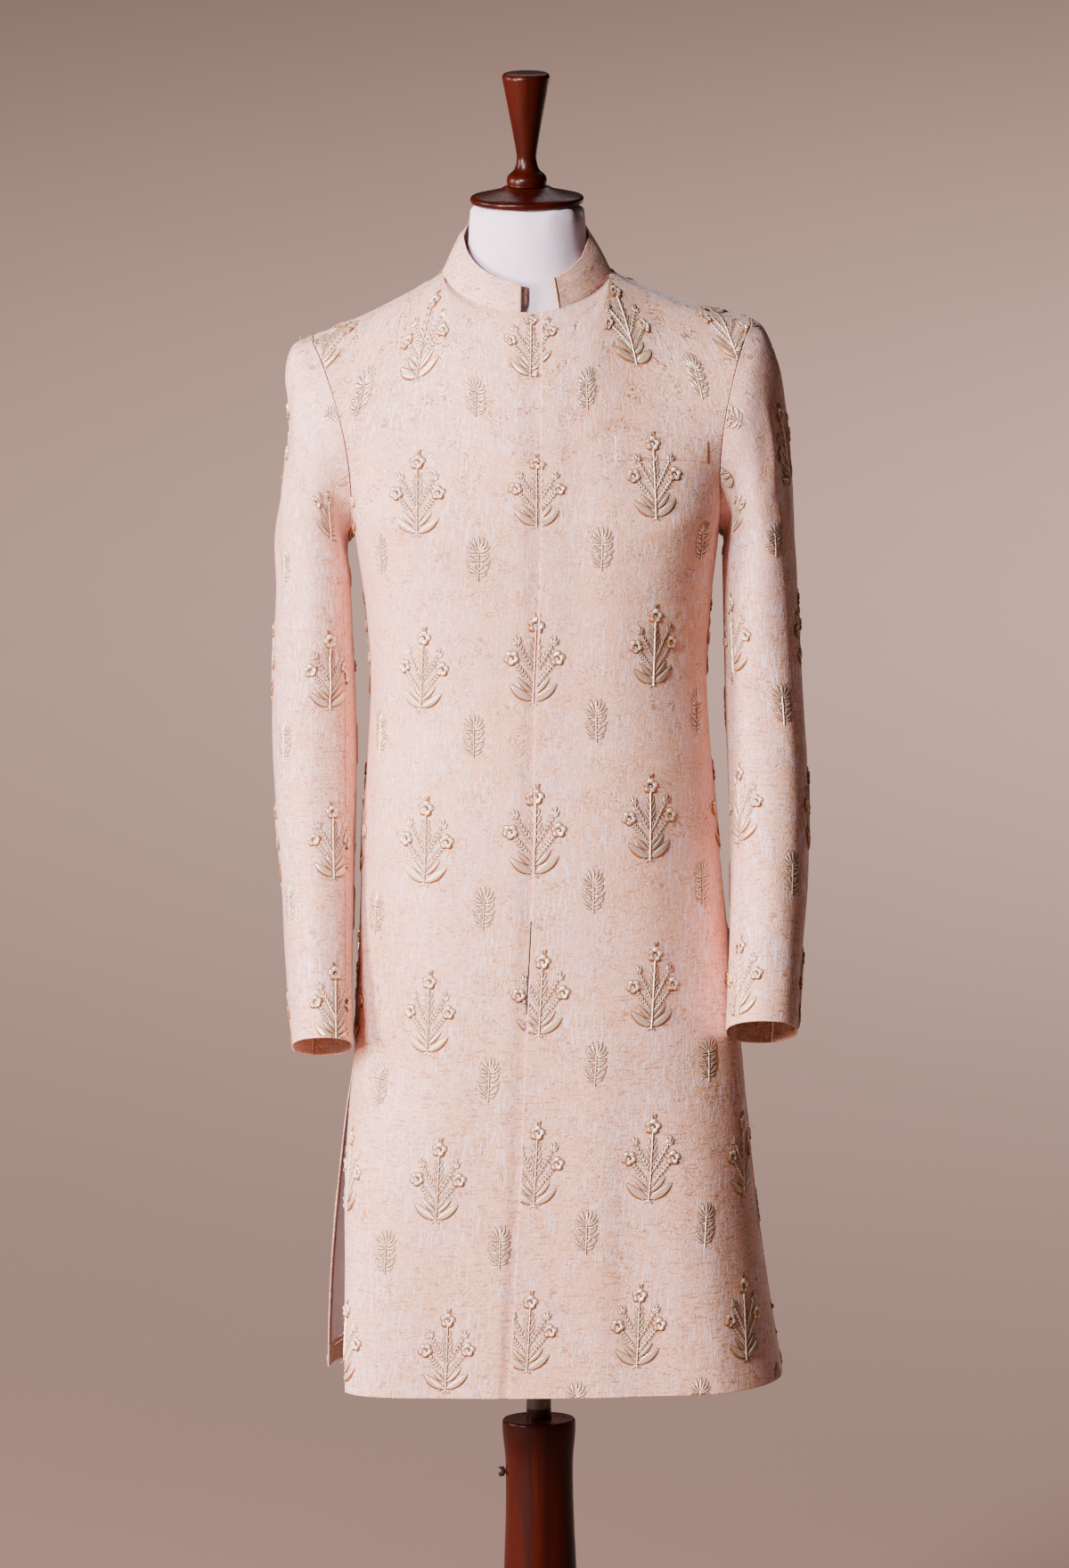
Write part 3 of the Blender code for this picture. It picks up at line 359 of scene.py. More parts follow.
def sleeve_rings(side, front, back):
    """Closed rings from the armhole to the cuff, each with RING points from under the arm."""
    first = len(HEM_ROWS)
    armhole = [row[0] for row in front[first:]]
    behind = [row[BACK_COLUMNS if side > 0 else 0] for row in back[first:]]
    top = armhole[-1].lerp(behind[-1], 0.5)
    under = armhole[0].lerp(behind[0], 0.5)
    ring = [point.copy() for point in [under] + armhole[1:-1] + [top] + behind[1:-1][::-1]]

    def rise_of(point):
        return (point.z - under.z) / (top.z - under.z)

    for point in ring:
        rise = rise_of(point)
        point.x += side * (SEAM + HEAD_SEAM * rise * rise)
    shoulder_z = SHOULDER[side].z

    def tube_ring(drop):
        outer, inner, depth, half_depth = smooth(SLEEVE[side], drop)
        low, high = max(drop - TILT_STEP, BICEPS_DROP), min(drop + TILT_STEP, SLEEVE_LENGTH)
        run = smooth(SLEEVE[side], high)[2] - smooth(SLEEVE[side], low)[2]
        tilt = atan2(run, high - low) * ease((drop - BICEPS_DROP) / 0.15)
        centre = Vector((side * (outer + inner) / 2, depth, shoulder_z - drop))
        deep = Vector((0, cos(tilt), sin(tilt)))
        points = []
        for k in range(RING):
            c, s = cos(2 * pi * k / RING), sin(2 * pi * k / RING)
            radius = outline(c, s, (outer - inner) / 2, half_depth, SLEEVE_POWER)
            points.append(centre + Vector((-side * radius * c, 0, 0)) - deep * radius * s)
        return points

    def fallen_in(points):
        """A ring with the sleeve's dents pressed into it."""
        centre = sum(points, Vector()) / RING
        pressed = []
        for k, point in enumerate(points):
            depth = 0.0
            for at, drop, spread_round, spread_along, amount in SLEEVE_DENTS[side]:
                around = (k - at) / spread_round
                along = (shoulder_z - point.z - drop) / spread_along
                depth += amount * exp(-around * around - along * along)
            pressed.append(point + ((centre - point) * Vector((1, 1, 0))).normalized() * depth)
        return pressed

    biceps = tube_ring(BICEPS_DROP)
    rings = [ring]
    for step in range(1, CAP_RINGS):
        points = []
        for start, end in zip(ring, biceps):
            reach = (end - start).length
            rise = rise_of(start)
            lead = Vector((side, 0, -0.35 + 0.35 * rise)).normalized() * reach
            lead *= 0.9 + (HEAD_FULLNESS[side] - 0.9) * rise
            points.append(hermite(step / CAP_RINGS, start, end, lead,
                                  Vector((0, 0, -1)) * reach * 1.05))
        rings.append(fallen_in(points))
    return rings + [
        fallen_in(tube_ring(BICEPS_DROP + (SLEEVE_LENGTH - BICEPS_DROP) * step / TUBE_RINGS))
        for step in range(TUBE_RINGS + 1)]


# ---------------------------------------------------------------- dense sheets of cloth
EDGE_STEPS = (0.0, 0.00025, 0.0006, 0.0011, 0.0018, 0.0028)    # finer columns beside an edge
EDGE_ROUND = 0.0008       # radius that a piece's edge rolls in by


def spline_weights(places, count, closed=False):
    """One row of weights for each fractional position along a run of `count` points."""
    weights = np.zeros((len(places), count))
    for row, place in zip(weights, places):
        low = floor(place)
        if not closed:
            low = min(max(low, 0), count - 2)
        t = place - low
        curve = (-0.5 * t + t * t - 0.5 * t**3, 1 - 2.5 * t * t + 1.5 * t**3,
                 0.5 * t + 2 * t * t - 1.5 * t**3, -0.5 * t * t + 0.5 * t**3)
        for column, weight in enumerate(curve, low - 1):
            if closed or 0 <= column < count:
                row[column % count] += weight
            else:
                end, beside = (0, 1) if column < 0 else (-1, -2)
                row[end] += 2 * weight
                row[beside] -= weight
    return weights


def positions(start, end, per_cell, first, last):
    """Positions from start to end, denser at both ends, whose cells are `first` and `last` long."""
    near = [start + step / first for step in EDGE_STEPS]
    far = [end - step / last for step in EDGE_STEPS][::-1]
    inner = np.linspace(start, end, round((end - start) * per_cell) + 1)
    inner = [p for p in inner if near[-1] + 0.3 / per_cell < p < far[0] - 0.3 / per_cell]
    return near + inner + far


def run_positions(line, per_cell):
    """Positions along a whole line of points."""
    first, last = (float(np.linalg.norm(line[a] - line[b])) for a, b in ((0, 1), (-1, -2)))
    return positions(0, len(line) - 1, per_cell, first, last)


def run_lengths(points, axis):
    """How far along the cloth each point of a grid lies from the grid's first line."""
    steps = np.linalg.norm(np.diff(points, axis=axis), axis=2)
    return np.insert(np.cumsum(steps, axis=axis), 0, 0, axis=axis)


class Sheet:
    """Outer points of a piece of cloth with normals and cloth coordinates s (across) and t (up)."""

    def __init__(self, points, s_zero=0, t_zero=0.0, centres=None):
        self.points = points
        if centres is None:
            centres = points.mean(axis=1, keepdims=True) * [0, 0, 1] - [0, 0, 0.05]
        self.outward = 1.0
        self.outward = copysign(1, np.sum(self.find_normals() * (points - centres)))
        self.from_left = run_lengths(points, 1)
        self.from_right = self.from_left[:, -1:] - self.from_left
        self.s = self.from_left - self.from_left[:, s_zero][:, None]
        self.from_low = run_lengths(points, 0)
        self.from_high = self.from_low[-1:] - self.from_low
        self.t = t_zero + np.median(self.from_low, axis=1)
        self.normals = self.find_normals()

    def find_normals(self):
        across, up = np.gradient(self.points, axis=1), np.gradient(self.points, axis=0)
        normals = np.cross(across, up) * self.outward
        return normals / np.maximum(np.linalg.norm(normals, axis=2, keepdims=True), 1e-12)

    def t_grid(self):
        return np.repeat(self.t[:, None], self.points.shape[1], axis=1)

    def roll_edges(self, sides="lrbt"):
        """Rolls the named edges in, so that open edges look turned and seams make a groove."""
        depth = np.zeros(self.points.shape[:2])
        run = {"l": self.from_left, "r": self.from_right, "b": self.from_low, "t": self.from_high}
        for side in sides:
            near = np.clip(1 - run[side] / EDGE_ROUND, 0, 1)
            depth = np.maximum(depth, EDGE_ROUND * (1 - np.sqrt(1 - near**2 * 0.96)))
        self.points = self.points - self.normals * depth[:, :, None]

    def crease(self, table):
        """Lays in soft creases, each from (s, t) to (s, t): troughs where the depth is negative."""
        total = np.zeros(self.points.shape[:2])
        for s0, t0, s1, t1, width, depth, bend in table:
            run = hypot(s1 - s0, t1 - t0)
            along_s, along_t = (s1 - s0) / run, (t1 - t0) / run
            s, t = self.s - s0, self.t_grid() - t0
            along = (s * along_s + t * along_t) / run
            share = np.clip(along, 0, 1)
            off = t * along_s - s * along_t - bend * 4 * share * (1 - share)
            reach = np.clip(np.sin(np.pi * np.clip(along * 0.92 + 0.04, 0, 1)), 0, 1) ** 1.2
            spread = width * (0.7 + 0.6 * share)
            total += depth * reach * (np.exp(-(off / spread)**2)
                                      - 0.45 * np.exp(-((off - 1.7 * spread) / spread)**2))
        self.points = self.points + self.normals * total[:, :, None]
        self.normals = self.find_normals()

    def at(self, s, t):
        """Points and normals at arrays of cloth coordinates, and which lie on the sheet."""
        row = np.clip(np.interp(t, self.t, np.arange(len(self.t))), 0, len(self.t) - 1.001)
        low = row.astype(int)
        share = (row - low)[:, None]
        s_here = self.s[low] * (1 - share) + self.s[low + 1] * share
        column = np.sum(s_here < s[:, None], axis=1) - 1
        on = (column >= 0) & (column < self.s.shape[1] - 1) & (t > self.t[0]) & (t < self.t[-1])
        column = np.clip(column, 0, self.s.shape[1] - 2)
        index = np.arange(len(s))
        left, right = s_here[index, column], s_here[index, column + 1]
        across = np.clip((s - left) / np.maximum(right - left, 1e-9), 0, 1)[:, None]

        def read(grid):
            below, above = (grid[row, column] * (1 - across) + grid[row, column + 1] * across
                            for row in (low, low + 1))
            return below * (1 - share) + above * share

        return read(self.points), read(self.normals), on


def as_array(rows):
    return np.array([[tuple(point) for point in row] for row in rows])


def read_grid(by_row, by_column, coarse):
    return np.einsum("ra,cb,abk->rck", by_row, by_column, coarse)


def dense_sheet(coarse, per_row, per_column, s_zero):
    """A Sheet on a smooth surface through coarse rows of points."""
    middle_row, middle_column = (coarse.shape[0] - 1) // 2, (coarse.shape[1] - 1) // 2
    rows_at = run_positions(coarse[:, middle_column], per_row)
    columns_at = run_positions(coarse[middle_row], per_column)
    return Sheet(read_grid(spline_weights(rows_at, len(coarse)),
                           spline_weights(columns_at, coarse.shape[1]), coarse),
                 int(np.argmin(np.abs(np.array(columns_at) - s_zero))))


# ---------------------------------------------------------------- objects
def add_object(name, data, materials=()):
    for finish in materials:
        data.materials.append(finish)
    made = bpy.data.objects.new(name, data)
    bpy.context.scene.collection.objects.link(made)
    return made


def add_mesh(name, verts, faces, materials, edges=()):
    mesh = bpy.data.meshes.new(name)
    mesh.from_pydata([tuple(v) for v in verts], edges, faces)
    mesh.shade_smooth()
    return add_object(name, mesh, materials)


def declare(made, body, node=None):
    """Says which body a piece rides on, and hides the node it stands for."""
    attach(made, body)
    if node:
        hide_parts(node)


def lay_out(made, corners, place):
    """Gives a mesh's corners their cloth coordinates from those of its points."""
    layer = made.data.uv_layers.new(name="cloth")
    layer.data.foreach_set("uv", place[corners].astype(np.float32).reshape(-1))


def cloth_object(name, sheet, thickness, materials, node):
    """A thin shell on a sheet: outer face, inner face and rim, riding on the figure."""
    rows, columns = sheet.points.shape[:2]
    index = np.arange(rows * columns).reshape(rows, columns)
    faces = np.stack([index[:-1, :-1], index[:-1, 1:], index[1:, 1:], index[1:, :-1]], axis=-1)
    faces = faces.reshape(-1, 4)
    points = sheet.points.reshape(-1, 3)
    a, b, c = (points[faces[:, k]] for k in range(3))
    if np.sum(np.cross(b - a, c - b) * sheet.normals.reshape(-1, 3)[faces[:, 0]]) < 0:
        faces = faces[:, ::-1]
    made = add_mesh(name, points, faces.tolist(), materials)
    lay_out(made, faces.reshape(-1), np.stack([sheet.s, sheet.t_grid()], axis=-1).reshape(-1, 2))
    wall = made.modifiers.new("wall", "SOLIDIFY")
    wall.thickness = thickness
    wall.offset = -1
    wall.material_offset = len(materials) - 1
    wall.material_offset_rim = 0
    declare(made, FIGURE, node)


# ---------------------------------------------------------------- materials
class Look:
    """A Principled material and its nodes: an input takes a socket, or a value of its own."""

    def __init__(self, name, roughness, metallic=0.0, **constants):
        self.material = bpy.data.materials.new(name)
        self.material.use_nodes = True
        self.tree = self.material.node_tree
        self.shader = self.tree.nodes["Principled BSDF"]
        for key, value in {"Roughness": roughness, "Metallic": metallic, **constants}.items():
            self.shader.inputs[key.replace("_", " ")].default_value = value

    def put(self, value, place):
        if isinstance(value, bpy.types.NodeSocket):
            self.tree.links.new(value, place)
        else:
            place.default_value = value

    def add(self, kind, inputs=None, **settings):
        made = self.tree.nodes.new("ShaderNode" + kind)
        for key, value in settings.items():
            setattr(made, key, value)
        for key, value in (inputs or {}).items():
            self.put(value, made.inputs[key])
        return made

    def cloth(self):
        return self.add("UVMap", uv_map="cloth").outputs["UV"]

    def place(self):
        return self.add("TexCoord").outputs["Object"]

    def calculate(self, operation, a, b=0.0, c=0.0):
        return self.add("Math", {0: a, 1: b, 2: c}, operation=operation).outputs[0]

    def times(self, a, b, plus=None):
        """a times b, plus a third value where one is given."""
        if plus is None:
            return self.calculate("MULTIPLY", a, b)
        return self.calculate("MULTIPLY_ADD", a, b, plus)

    def ramp(self, value, low, high, to_low=0.0, to_high=1.0):
        """Maps a value smoothly from low..high to to_low..to_high."""
        return self.add("MapRange", {"Value": value, "From Min": low, "From Max": high,
                                     "To Min": to_low, "To Max": to_high},
                        interpolation_type="SMOOTHSTEP").outputs["Result"]

    def blend(self, share, first, second):
        made = self.add("Mix", {"Factor": share}, data_type="RGBA")
        sockets = {socket.identifier: socket for socket in made.inputs}
        for key, colour in (("A_Color", first), ("B_Color", second)):
            self.put((*colour, 1.0) if isinstance(colour, tuple) else colour, sockets[key])
        return next(s for s in made.outputs if s.identifier == "Result_Color")

    def noise(self, vector, scale, detail=2.0, roughness=0.5, distortion=0.0):
        """Noise at one scale, or at a scale of its own along each axis."""
        if isinstance(scale, tuple):
            vector = self.add("Mapping", {"Vector": vector, "Scale": scale}).outputs["Vector"]
            scale = 1.0
        return self.add("TexNoise", {"Vector": vector, "Scale": scale, "Detail": detail,
                                     "Roughness": roughness, "Distortion": distortion}
                        ).outputs["Fac"]

    def link(self, colour, roughness=None):
        self.put(colour, self.shader.inputs["Base Color"])
        if roughness is not None:
            self.put(roughness, self.shader.inputs["Roughness"])

    def bump(self, height, strength, distance):
        made = self.add("Bump", {"Height": height, "Strength": strength, "Distance": distance})
        self.put(made.outputs["Normal"], self.shader.inputs["Normal"])
        return self.material


def jacquard_material(name, ground, blush, fleck, sheen_and_painted_glint=1.0):
    """Silk jacquard: fine winding figures in tone, gold-brown flecks, and satin floats up the warp,
    lightened to lilac-white as painted glints.
    """
    look = Look(name, 0.5, Sheen_Weight=0.3 * sheen_and_painted_glint, Sheen_Roughness=0.35,
                Sheen_Tint=(0.93, 0.88, 1.0, 1.0))
    cloth, noise, ramp, times, blend = look.cloth(), look.noise, look.ramp, look.times, look.blend
    height = look.add("SeparateXYZ", {"Vector": cloth}).outputs["Y"]
    figure = noise(cloth, (74.0, 112.0, 1.0), 1.8, 0.55, 0.6)
    contour = look.calculate("SINE", times(figure, 52.0))
    line = ramp(contour, 0.05, 0.85)
    groove = ramp(contour, -0.45, -0.93)
    patchy = ramp(noise(cloth, 34.0, 3.0, 0.6), 0.44, 0.6)
    threads = noise(cloth, (900.0, 300.0, 1.0), 2.0, 0.65)
    floats = noise(cloth, (380.0, 62.0, 1.0), 2.0, 0.62, 0.5)
    painted_glint = times(ramp(floats, 0.52, 0.6), ramp(noise(cloth, 16.0), 0.38, 0.6, 0.3))
    slub = times(ramp(noise(cloth, (70.0, 420.0, 1.0), 2.0, 0.6, 0.4), 0.56, 0.66),
                 ramp(height, 0.62, 0.3))
    brown = times(times(groove, times(patchy, 0.76, 0.24)), ramp(height, 0.8, 0.99, 0.62))
    colour = blend(ramp(noise(cloth, 13.0, 3.0), 0.38, 0.6), ground, blush)
    colour = blend(times(line, 0.34), colour, (0.96, 0.7, 0.7))
    colour = blend(brown, colour, fleck)
    colour = blend(times(ramp(threads, 0.57, 0.68), 0.45), colour, fleck)
    colour = blend(times(slub, 0.55), colour, fleck)
    # painted glints: the satin floats are lightened towards lilac-white
    colour = blend(times(painted_glint, 0.6 * sheen_and_painted_glint), colour, (0.97, 0.8, 0.96))
    look.link(colour, times(painted_glint, -0.18 * sheen_and_painted_glint, 0.54))
    relief = times(line, 0.3, times(groove, -0.34))
    for part, amount in ((painted_glint, 0.55), (slub, 0.5), (threads, 0.85)):
        relief = times(part, amount, relief)
    return look.bump(relief, 0.5, 0.0006)


def satin_material():
    look = Look("satin_lining", 0.36, Sheen_Weight=0.5)
    cloth = look.cloth()
    twill = look.add("TexWave", {"Vector": cloth, "Scale": 900.0, "Distortion": 1.5},
                     bands_direction="DIAGONAL").outputs["Fac"]
    look.link(look.blend(look.ramp(look.noise(cloth, 14.0), 0.35, 0.7), (0.96, 0.86, 0.9),
                         (0.9, 0.78, 0.81)))
    return look.bump(twill, 0.15, 0.0002)


def jersey_material():
    """The dress form's white knitted cover, slightly soiled."""
    look = Look("form_jersey", 0.9, Sheen_Weight=0.35)
    place = look.place()
    wales = look.noise(place, (900.0, 900.0, 120.0))
    colour = look.blend(look.ramp(look.noise(place, 26.0, 3.0, 0.6), 0.45, 0.75),
                        (0.86, 0.74, 0.92), (0.8, 0.66, 0.82))
    look.link(look.blend(look.ramp(wales, 0.5, 0.8, 0.0, 0.35), colour, (0.62, 0.57, 0.6)))
    return look.bump(wales, 0.35, 0.0004)


def wood_material():
    """Turned hardwood under red-brown lacquer, darker along its grain."""
    look = Look("turned_wood", 0.4, Coat_Weight=0.07, Coat_Roughness=0.2, Specular_IOR_Level=0.14)
    place = look.place()
    fibre = look.noise(place, (240.0, 240.0, 9.0), 3.0, 0.6)
    figure = look.noise(place, (26.0, 26.0, 2.2), 2.0, 0.5, 1.5)
    turning = look.noise(place, (4.0, 4.0, 900.0), 1.0)
    colour = look.blend(look.ramp(figure, 0.35, 0.7), (0.04, 0.0036, 0.001),
                        (0.017, 0.0016, 0.0007))
    colour = look.blend(look.ramp(fibre, 0.48, 0.75, 0.0, 0.6), colour, (0.008, 0.0014, 0.0008))
    look.link(colour, look.ramp(fibre, 0.3, 0.8, 0.26, 0.42))
    return look.bump(look.times(turning, 0.4, look.times(fibre, -0.5)), 0.25, 0.0002)


def metal_material():
    look = Look("dark_metal", 0.35, 0.9)
    place = look.place()
    grain = look.noise(place, (60.0, 60.0, 1400.0))
    look.link(look.blend(look.ramp(look.noise(place, 70.0, 3.0, 0.6), 0.45, 0.7),
                         (0.1, 0.085, 0.08), (0.19, 0.16, 0.15)),
              look.ramp(grain, 0.3, 0.7, 0.28, 0.46))
    return look.bump(grain, 0.2, 0.0001)


def thread_material(name, bright, dull, metallic, roughness, pitch=0.0007):
    """Laid metal thread: fine stitch lines across the shape, and colour that varies with them."""
    look = Look(name, roughness, metallic)
    stitch = look.cloth()
    line = look.add("TexWave", {"Vector": stitch, "Scale": 0.3 / pitch, "Distortion": 2.5,
                                "Detail": 1.0}, bands_direction="Y").outputs["Fac"]
    patch = look.ramp(look.noise(stitch, 300.0), 0.3, 0.75, 0.0, 0.6)
    look.link(look.blend(look.times(line, 0.45, patch), bright, dull))
    return look.bump(line, 0.5, 0.0002)


def plain_material(name, colour, roughness=0.8):
    look = Look(name, roughness)
    darker = tuple(0.96 * channel for channel in colour)
    look.link(look.blend(look.noise(look.place(), 3.0), colour, darker))
    return look.material


jacquard = jacquard_material("jacquard", (0.9, 0.475, 0.3), (0.9, 0.51, 0.39),
                             (0.3, 0.12, 0.045))
# the sleeves' jacquard: more sheen, and more painted glint on its floats
sleeve_jacquard = jacquard_material("sleeve_jacquard", (0.9, 0.48, 0.315), (0.9, 0.52, 0.42),
                                    (0.3, 0.12, 0.045), 1.35)
# the cloth's inside faces take a darker, duller copy of the jacquard: painted shade
facing = jacquard_material("jacquard_facing_painted_shade", (0.62, 0.33, 0.2), (0.64, 0.37, 0.25),
                           (0.36, 0.17, 0.08), 0.3)
# a darker copy of the jacquard for the collar's tab: painted shade
shadow_side = jacquard_material("jacquard_shadow_side", (0.46, 0.29, 0.16), (0.5, 0.32, 0.19),
                          (0.26, 0.15, 0.08), 0.2)
satin = satin_material()
jersey = jersey_material()
wood = wood_material()
iron = metal_material()


# ---------------------------------------------------------------- the coat
# creases, as soft ridges (depth over 0) or troughs, in cloth coordinates in millimetres
# columns: s0, t0, s1, t1, width, depth, bend
CLOSURE_FOLD = (30, 1050, 34, 560, 20, -1.8, 2)     # runs through both fronts
LEFT_CREASES = mm(
    CLOSURE_FOLD, (172, 930, 150, 700, 22, -2.2, 6), (193, 865, 176, 770, 9, 1.5, 3),
    (105, 742, 178, 690, 13, -1.3, 3), (140, 560, 158, 90, 30, -2.4, 8),
    (212, 610, 246, 140, 26, 2.4, -6), (68, 410, 80, 60, 24, 1.3, 5),
    (290, 330, 305, 60, 19, -2.0, 4))
RIGHT_CREASES = mm(
    CLOSURE_FOLD, (-178, 940, -152, 715, 20, -2.1, -6), (-196, 850, -180, 780, 8, 1.4, -3),
    (-100, 748, -166, 700, 14, -1.2, 3), (-126, 525, -148, 110, 28, -2.2, -8),
    (-192, 570, -172, 90, 25, 2.1, 6), (-72, 440, -62, 70, 22, 1.3, -4))
BACK_CREASES = mm(
    (-118, 560, -140, 90, 30, -2.6, 8), (98, 590, 122, 70, 27, -2.4, -6),
    (4, 500, 12, 50, 31, 2.2, 4), (-168, 950, -108, 800, 20, -2.2, 5),
    (162, 955, 114, 780, 22, -2.0, -4), (-58, 724, 50, 703, 16, -1.5, 3),
    (-204, 610, -198, 140, 23, 2.2, 4), (206, 580, 214, 110, 26, 2.3, -5))
SLEEVE_CREASES = {
    -1: mm((130, 664, 58, 585, 10, 2.6, 4), (158, 648, 112, 560, 15, -2.8, 3),
           (62, 606, 48, 505, 9, 1.6, 2), (112, 540, 74, 446, 12, -2.1, 3),
           (46, 470, 58, 372, 12, -1.5, 3), (4, 388, 46, 357, 8, -1.6, 2),
           (6, 347, 37, 331, 6, -1.2, -2), (92, 352, 103, 215, 16, -1.9, 4),
           (38, 305, 50, 192, 12, 1.3, -3), (30, 115, 50, 18, 12, 1.2, 2),
           (122, 180, 108, 30, 14, 1.6, -3)),
    1: mm((88, 628, 51, 538, 8, 2.1, 2), (104, 606, 73, 492, 12, -2.6, 3),
          (40, 515, 57, 432, 9, 1.4, 2), (118, 478, 98, 400, 11, 1.5, -3),
          (8, 379, 50, 351, 8, -1.5, 2), (6, 340, 34, 327, 6, -1.1, -2),
          (36, 362, 42, 252, 10, -1.5, -3), (104, 428, 112, 274, 15, -1.9, 4),
          (32, 178, 39, 74, 10, 1.3, 2), (124, 226, 102, 96, 14, 1.5, 3)),
}
COLLAR_CREASES = mm((163, 4, 166, 38, 6, -1.1, 1), (-128, 6, -124, 36, 7, -0.8, 1))
ROWS_PER_CELL = 10
COLUMNS_PER_CELL = 6
SLEEVE_ROWS_PER_CELL = 9

# collar, from its open front round to the back: turn, height, lean
COLLAR = ((0.0, 0.024, 0.009), (45.0, 0.03, 0.015), (90.0, 0.037, 0.021), (135.0, 0.042, 0.017),
          (180.0, 0.043, 0.011))
COLLAR_END = 0.0185       # from the closure edge to each end
COLLAR_LIFT = 0.0007
COLLAR_FOOT = 0.0016      # height of the collar's foot, which is tucked in
COLLAR_TUCK = 0.0005      # how far the collar's foot lies behind the neckline's edge
COLLAR_SINK = 0.001
TAB_LEVELS = (0.12, 0.93)     # the tab's lower and upper edge as shares of the collar's height
TAB_DEPTH = 0.0026
TAB_REACH = (-0.0078, 0.004)
# the pocket welt on the left front: x, top_z and bottom_z at each end
WELT_ENDS = ((0.079, 1.3555, 1.329), (0.168, 1.3485, 1.322))
WELT_CELLS = 24
WELT_HEIGHT = 0.0014      # of the welt's face above the left front
# the back's lining
LINING_DEPTH = 0.0004     # air between a wall and what lies inside it
LINING_TOP_T = 0.385
HEM_FACING = 0.02
SLIT_FACING = 0.0085


def sleeve_sheets(rings):
    """The top and under piece of a sleeve, from the cuff (t = 0) up to its head."""
    coarse = as_array(rings)[::-1]
    front_seam, back_seam = SLEEVE_SEAMS
    cell = float(np.linalg.norm(coarse[0, 2] - coarse[0, 3]))
    gap = SEAM / 2 / cell
    outside = coarse[:, RING // 2]
    by_row = spline_weights(run_positions(outside, SLEEVE_ROWS_PER_CELL), len(coarse))
    centres = (by_row @ coarse.mean(axis=1))[:, None, :]
    sheets = []
    for start, end, s_zero in ((front_seam, back_seam, 0), (back_seam, RING + front_seam, -1)):
        columns_at = positions(start + gap, end - gap, COLUMNS_PER_CELL, cell, cell)
        by_column = spline_weights(columns_at, RING, closed=True)
        sheets.append(Sheet(read_grid(by_row, by_column, coarse), s_zero, 0.0, centres))
    return sheets


def collar_points(rows):
    """The stand collar on the neckline, open in front and leaning in to the neck."""
    centre = Vector((*NECK_CENTRE, 0))
    coarse = []
    for level in (0.0, 0.5, 1.0):
        coarse.append([])
        for foot in neckline(*rows):
            outward = ((foot - centre) * Vector((1, 1, 0))).normalized()
            height, lean = smooth(COLLAR, in_degrees(acos(max(-1.0, min(1.0, -outward.y)))))
            inward = lean * level * (0.7 + 0.3 * level)
            coarse[-1].append(foot + Vector((0, 0, COLLAR_LIFT + height * level))
                              - outward * inward)
    return as_array(coarse)


def make_collar(rows):
    coarse = collar_points(rows)
    sheet = dense_sheet(coarse, 6, COLUMNS_PER_CELL, coarse.shape[1] // 2)
    sheet.crease(COLLAR_CREASES)
    sheet.roll_edges("lrt")
    tucked = np.clip(1 - sheet.from_low / COLLAR_FOOT, 0, 1)
    sheet.points = sheet.points - sheet.normals * (tucked * COLLAR_TUCK)[:, :, None]
    sheet.points[:, :, 2] -= tucked * COLLAR_SINK
    return sheet


def make_collar_tab(sheet):
    """The end of the collar's inner band, standing past the right front's end."""
    levels = np.linspace(*TAB_LEVELS, 9) * sheet.t[-1]
    low = [int(np.argmin(np.abs(sheet.t - level))) for level in levels]
    ends = sheet.points[low, 0] - sheet.normals[low, 0] * TAB_DEPTH
    run = sheet.points[low, 4] - sheet.points[low, 0]
    run = run / np.linalg.norm(run, axis=1, keepdims=True)
    return Sheet(ends[:, None] + run[:, None] * np.linspace(*TAB_REACH, 9)[None, :, None])


def nearest(sheet, x, z):
    """Cloth coordinates of the sheet's point nearest to an x and z on its visible side."""
    off = (sheet.points[:, :, 0] - x)**2 + (sheet.points[:, :, 2] - z)**2
    row, column = np.unravel_index(np.argmin(off), off.shape)
    return float(sheet.s[row, column]), float(sheet.t[row])


def make_welt(sheet):
    """The breast pocket's welt: a strip on the left front, its far end a little lower."""
    (near_x, near_top, near_low), (far_x, far_top, far_low) = WELT_ENDS
    s_low, t_near = nearest(sheet, near_x, (near_top + near_low) / 2)
    s_high, t_far = nearest(sheet, far_x, (far_top + far_low) / 2)
    half = (near_top - near_low) / 2
    cell = (s_high - s_low) / WELT_CELLS
    share = np.array(positions(0, WELT_CELLS, 1, cell, cell)) / WELT_CELLS
    level = np.array(positions(0, 6, 1, half / 3, half / 3))[:, None] / 3 - 1
    t_grid = t_near + (t_far - t_near) * share + half * level
    s_grid = np.broadcast_to(s_low + (s_high - s_low) * share, t_grid.shape)
    points, normals, _ = sheet.at(s_grid.ravel(), t_grid.ravel())
    welt = Sheet((points + normals * WELT_HEIGHT).reshape(*t_grid.shape, 3))
    welt.s = welt.s + s_low
    welt.t = welt.t + t_near - half
    welt.roll_edges()
    return welt, (s_low, s_high, t_near, t_far, half)


def make_back_lining(sheet):
    """Satin inside the back's skirt, between the cloth's own facings along slits and hem."""
    hem, top = (int(np.searchsorted(sheet.t, t)) for t in (HEM_FACING, LINING_TOP_T))
    left, right = (int(np.argmin(np.abs(run[hem] - SLIT_FACING)))
                   for run in (sheet.from_left, sheet.from_right))
    part = slice(hem, top), slice(left, right)
    points = sheet.points[part] - sheet.normals[part] * (CLOTH + LINING_DEPTH)
    return Sheet(points, 0, float(sheet.t[hem]))


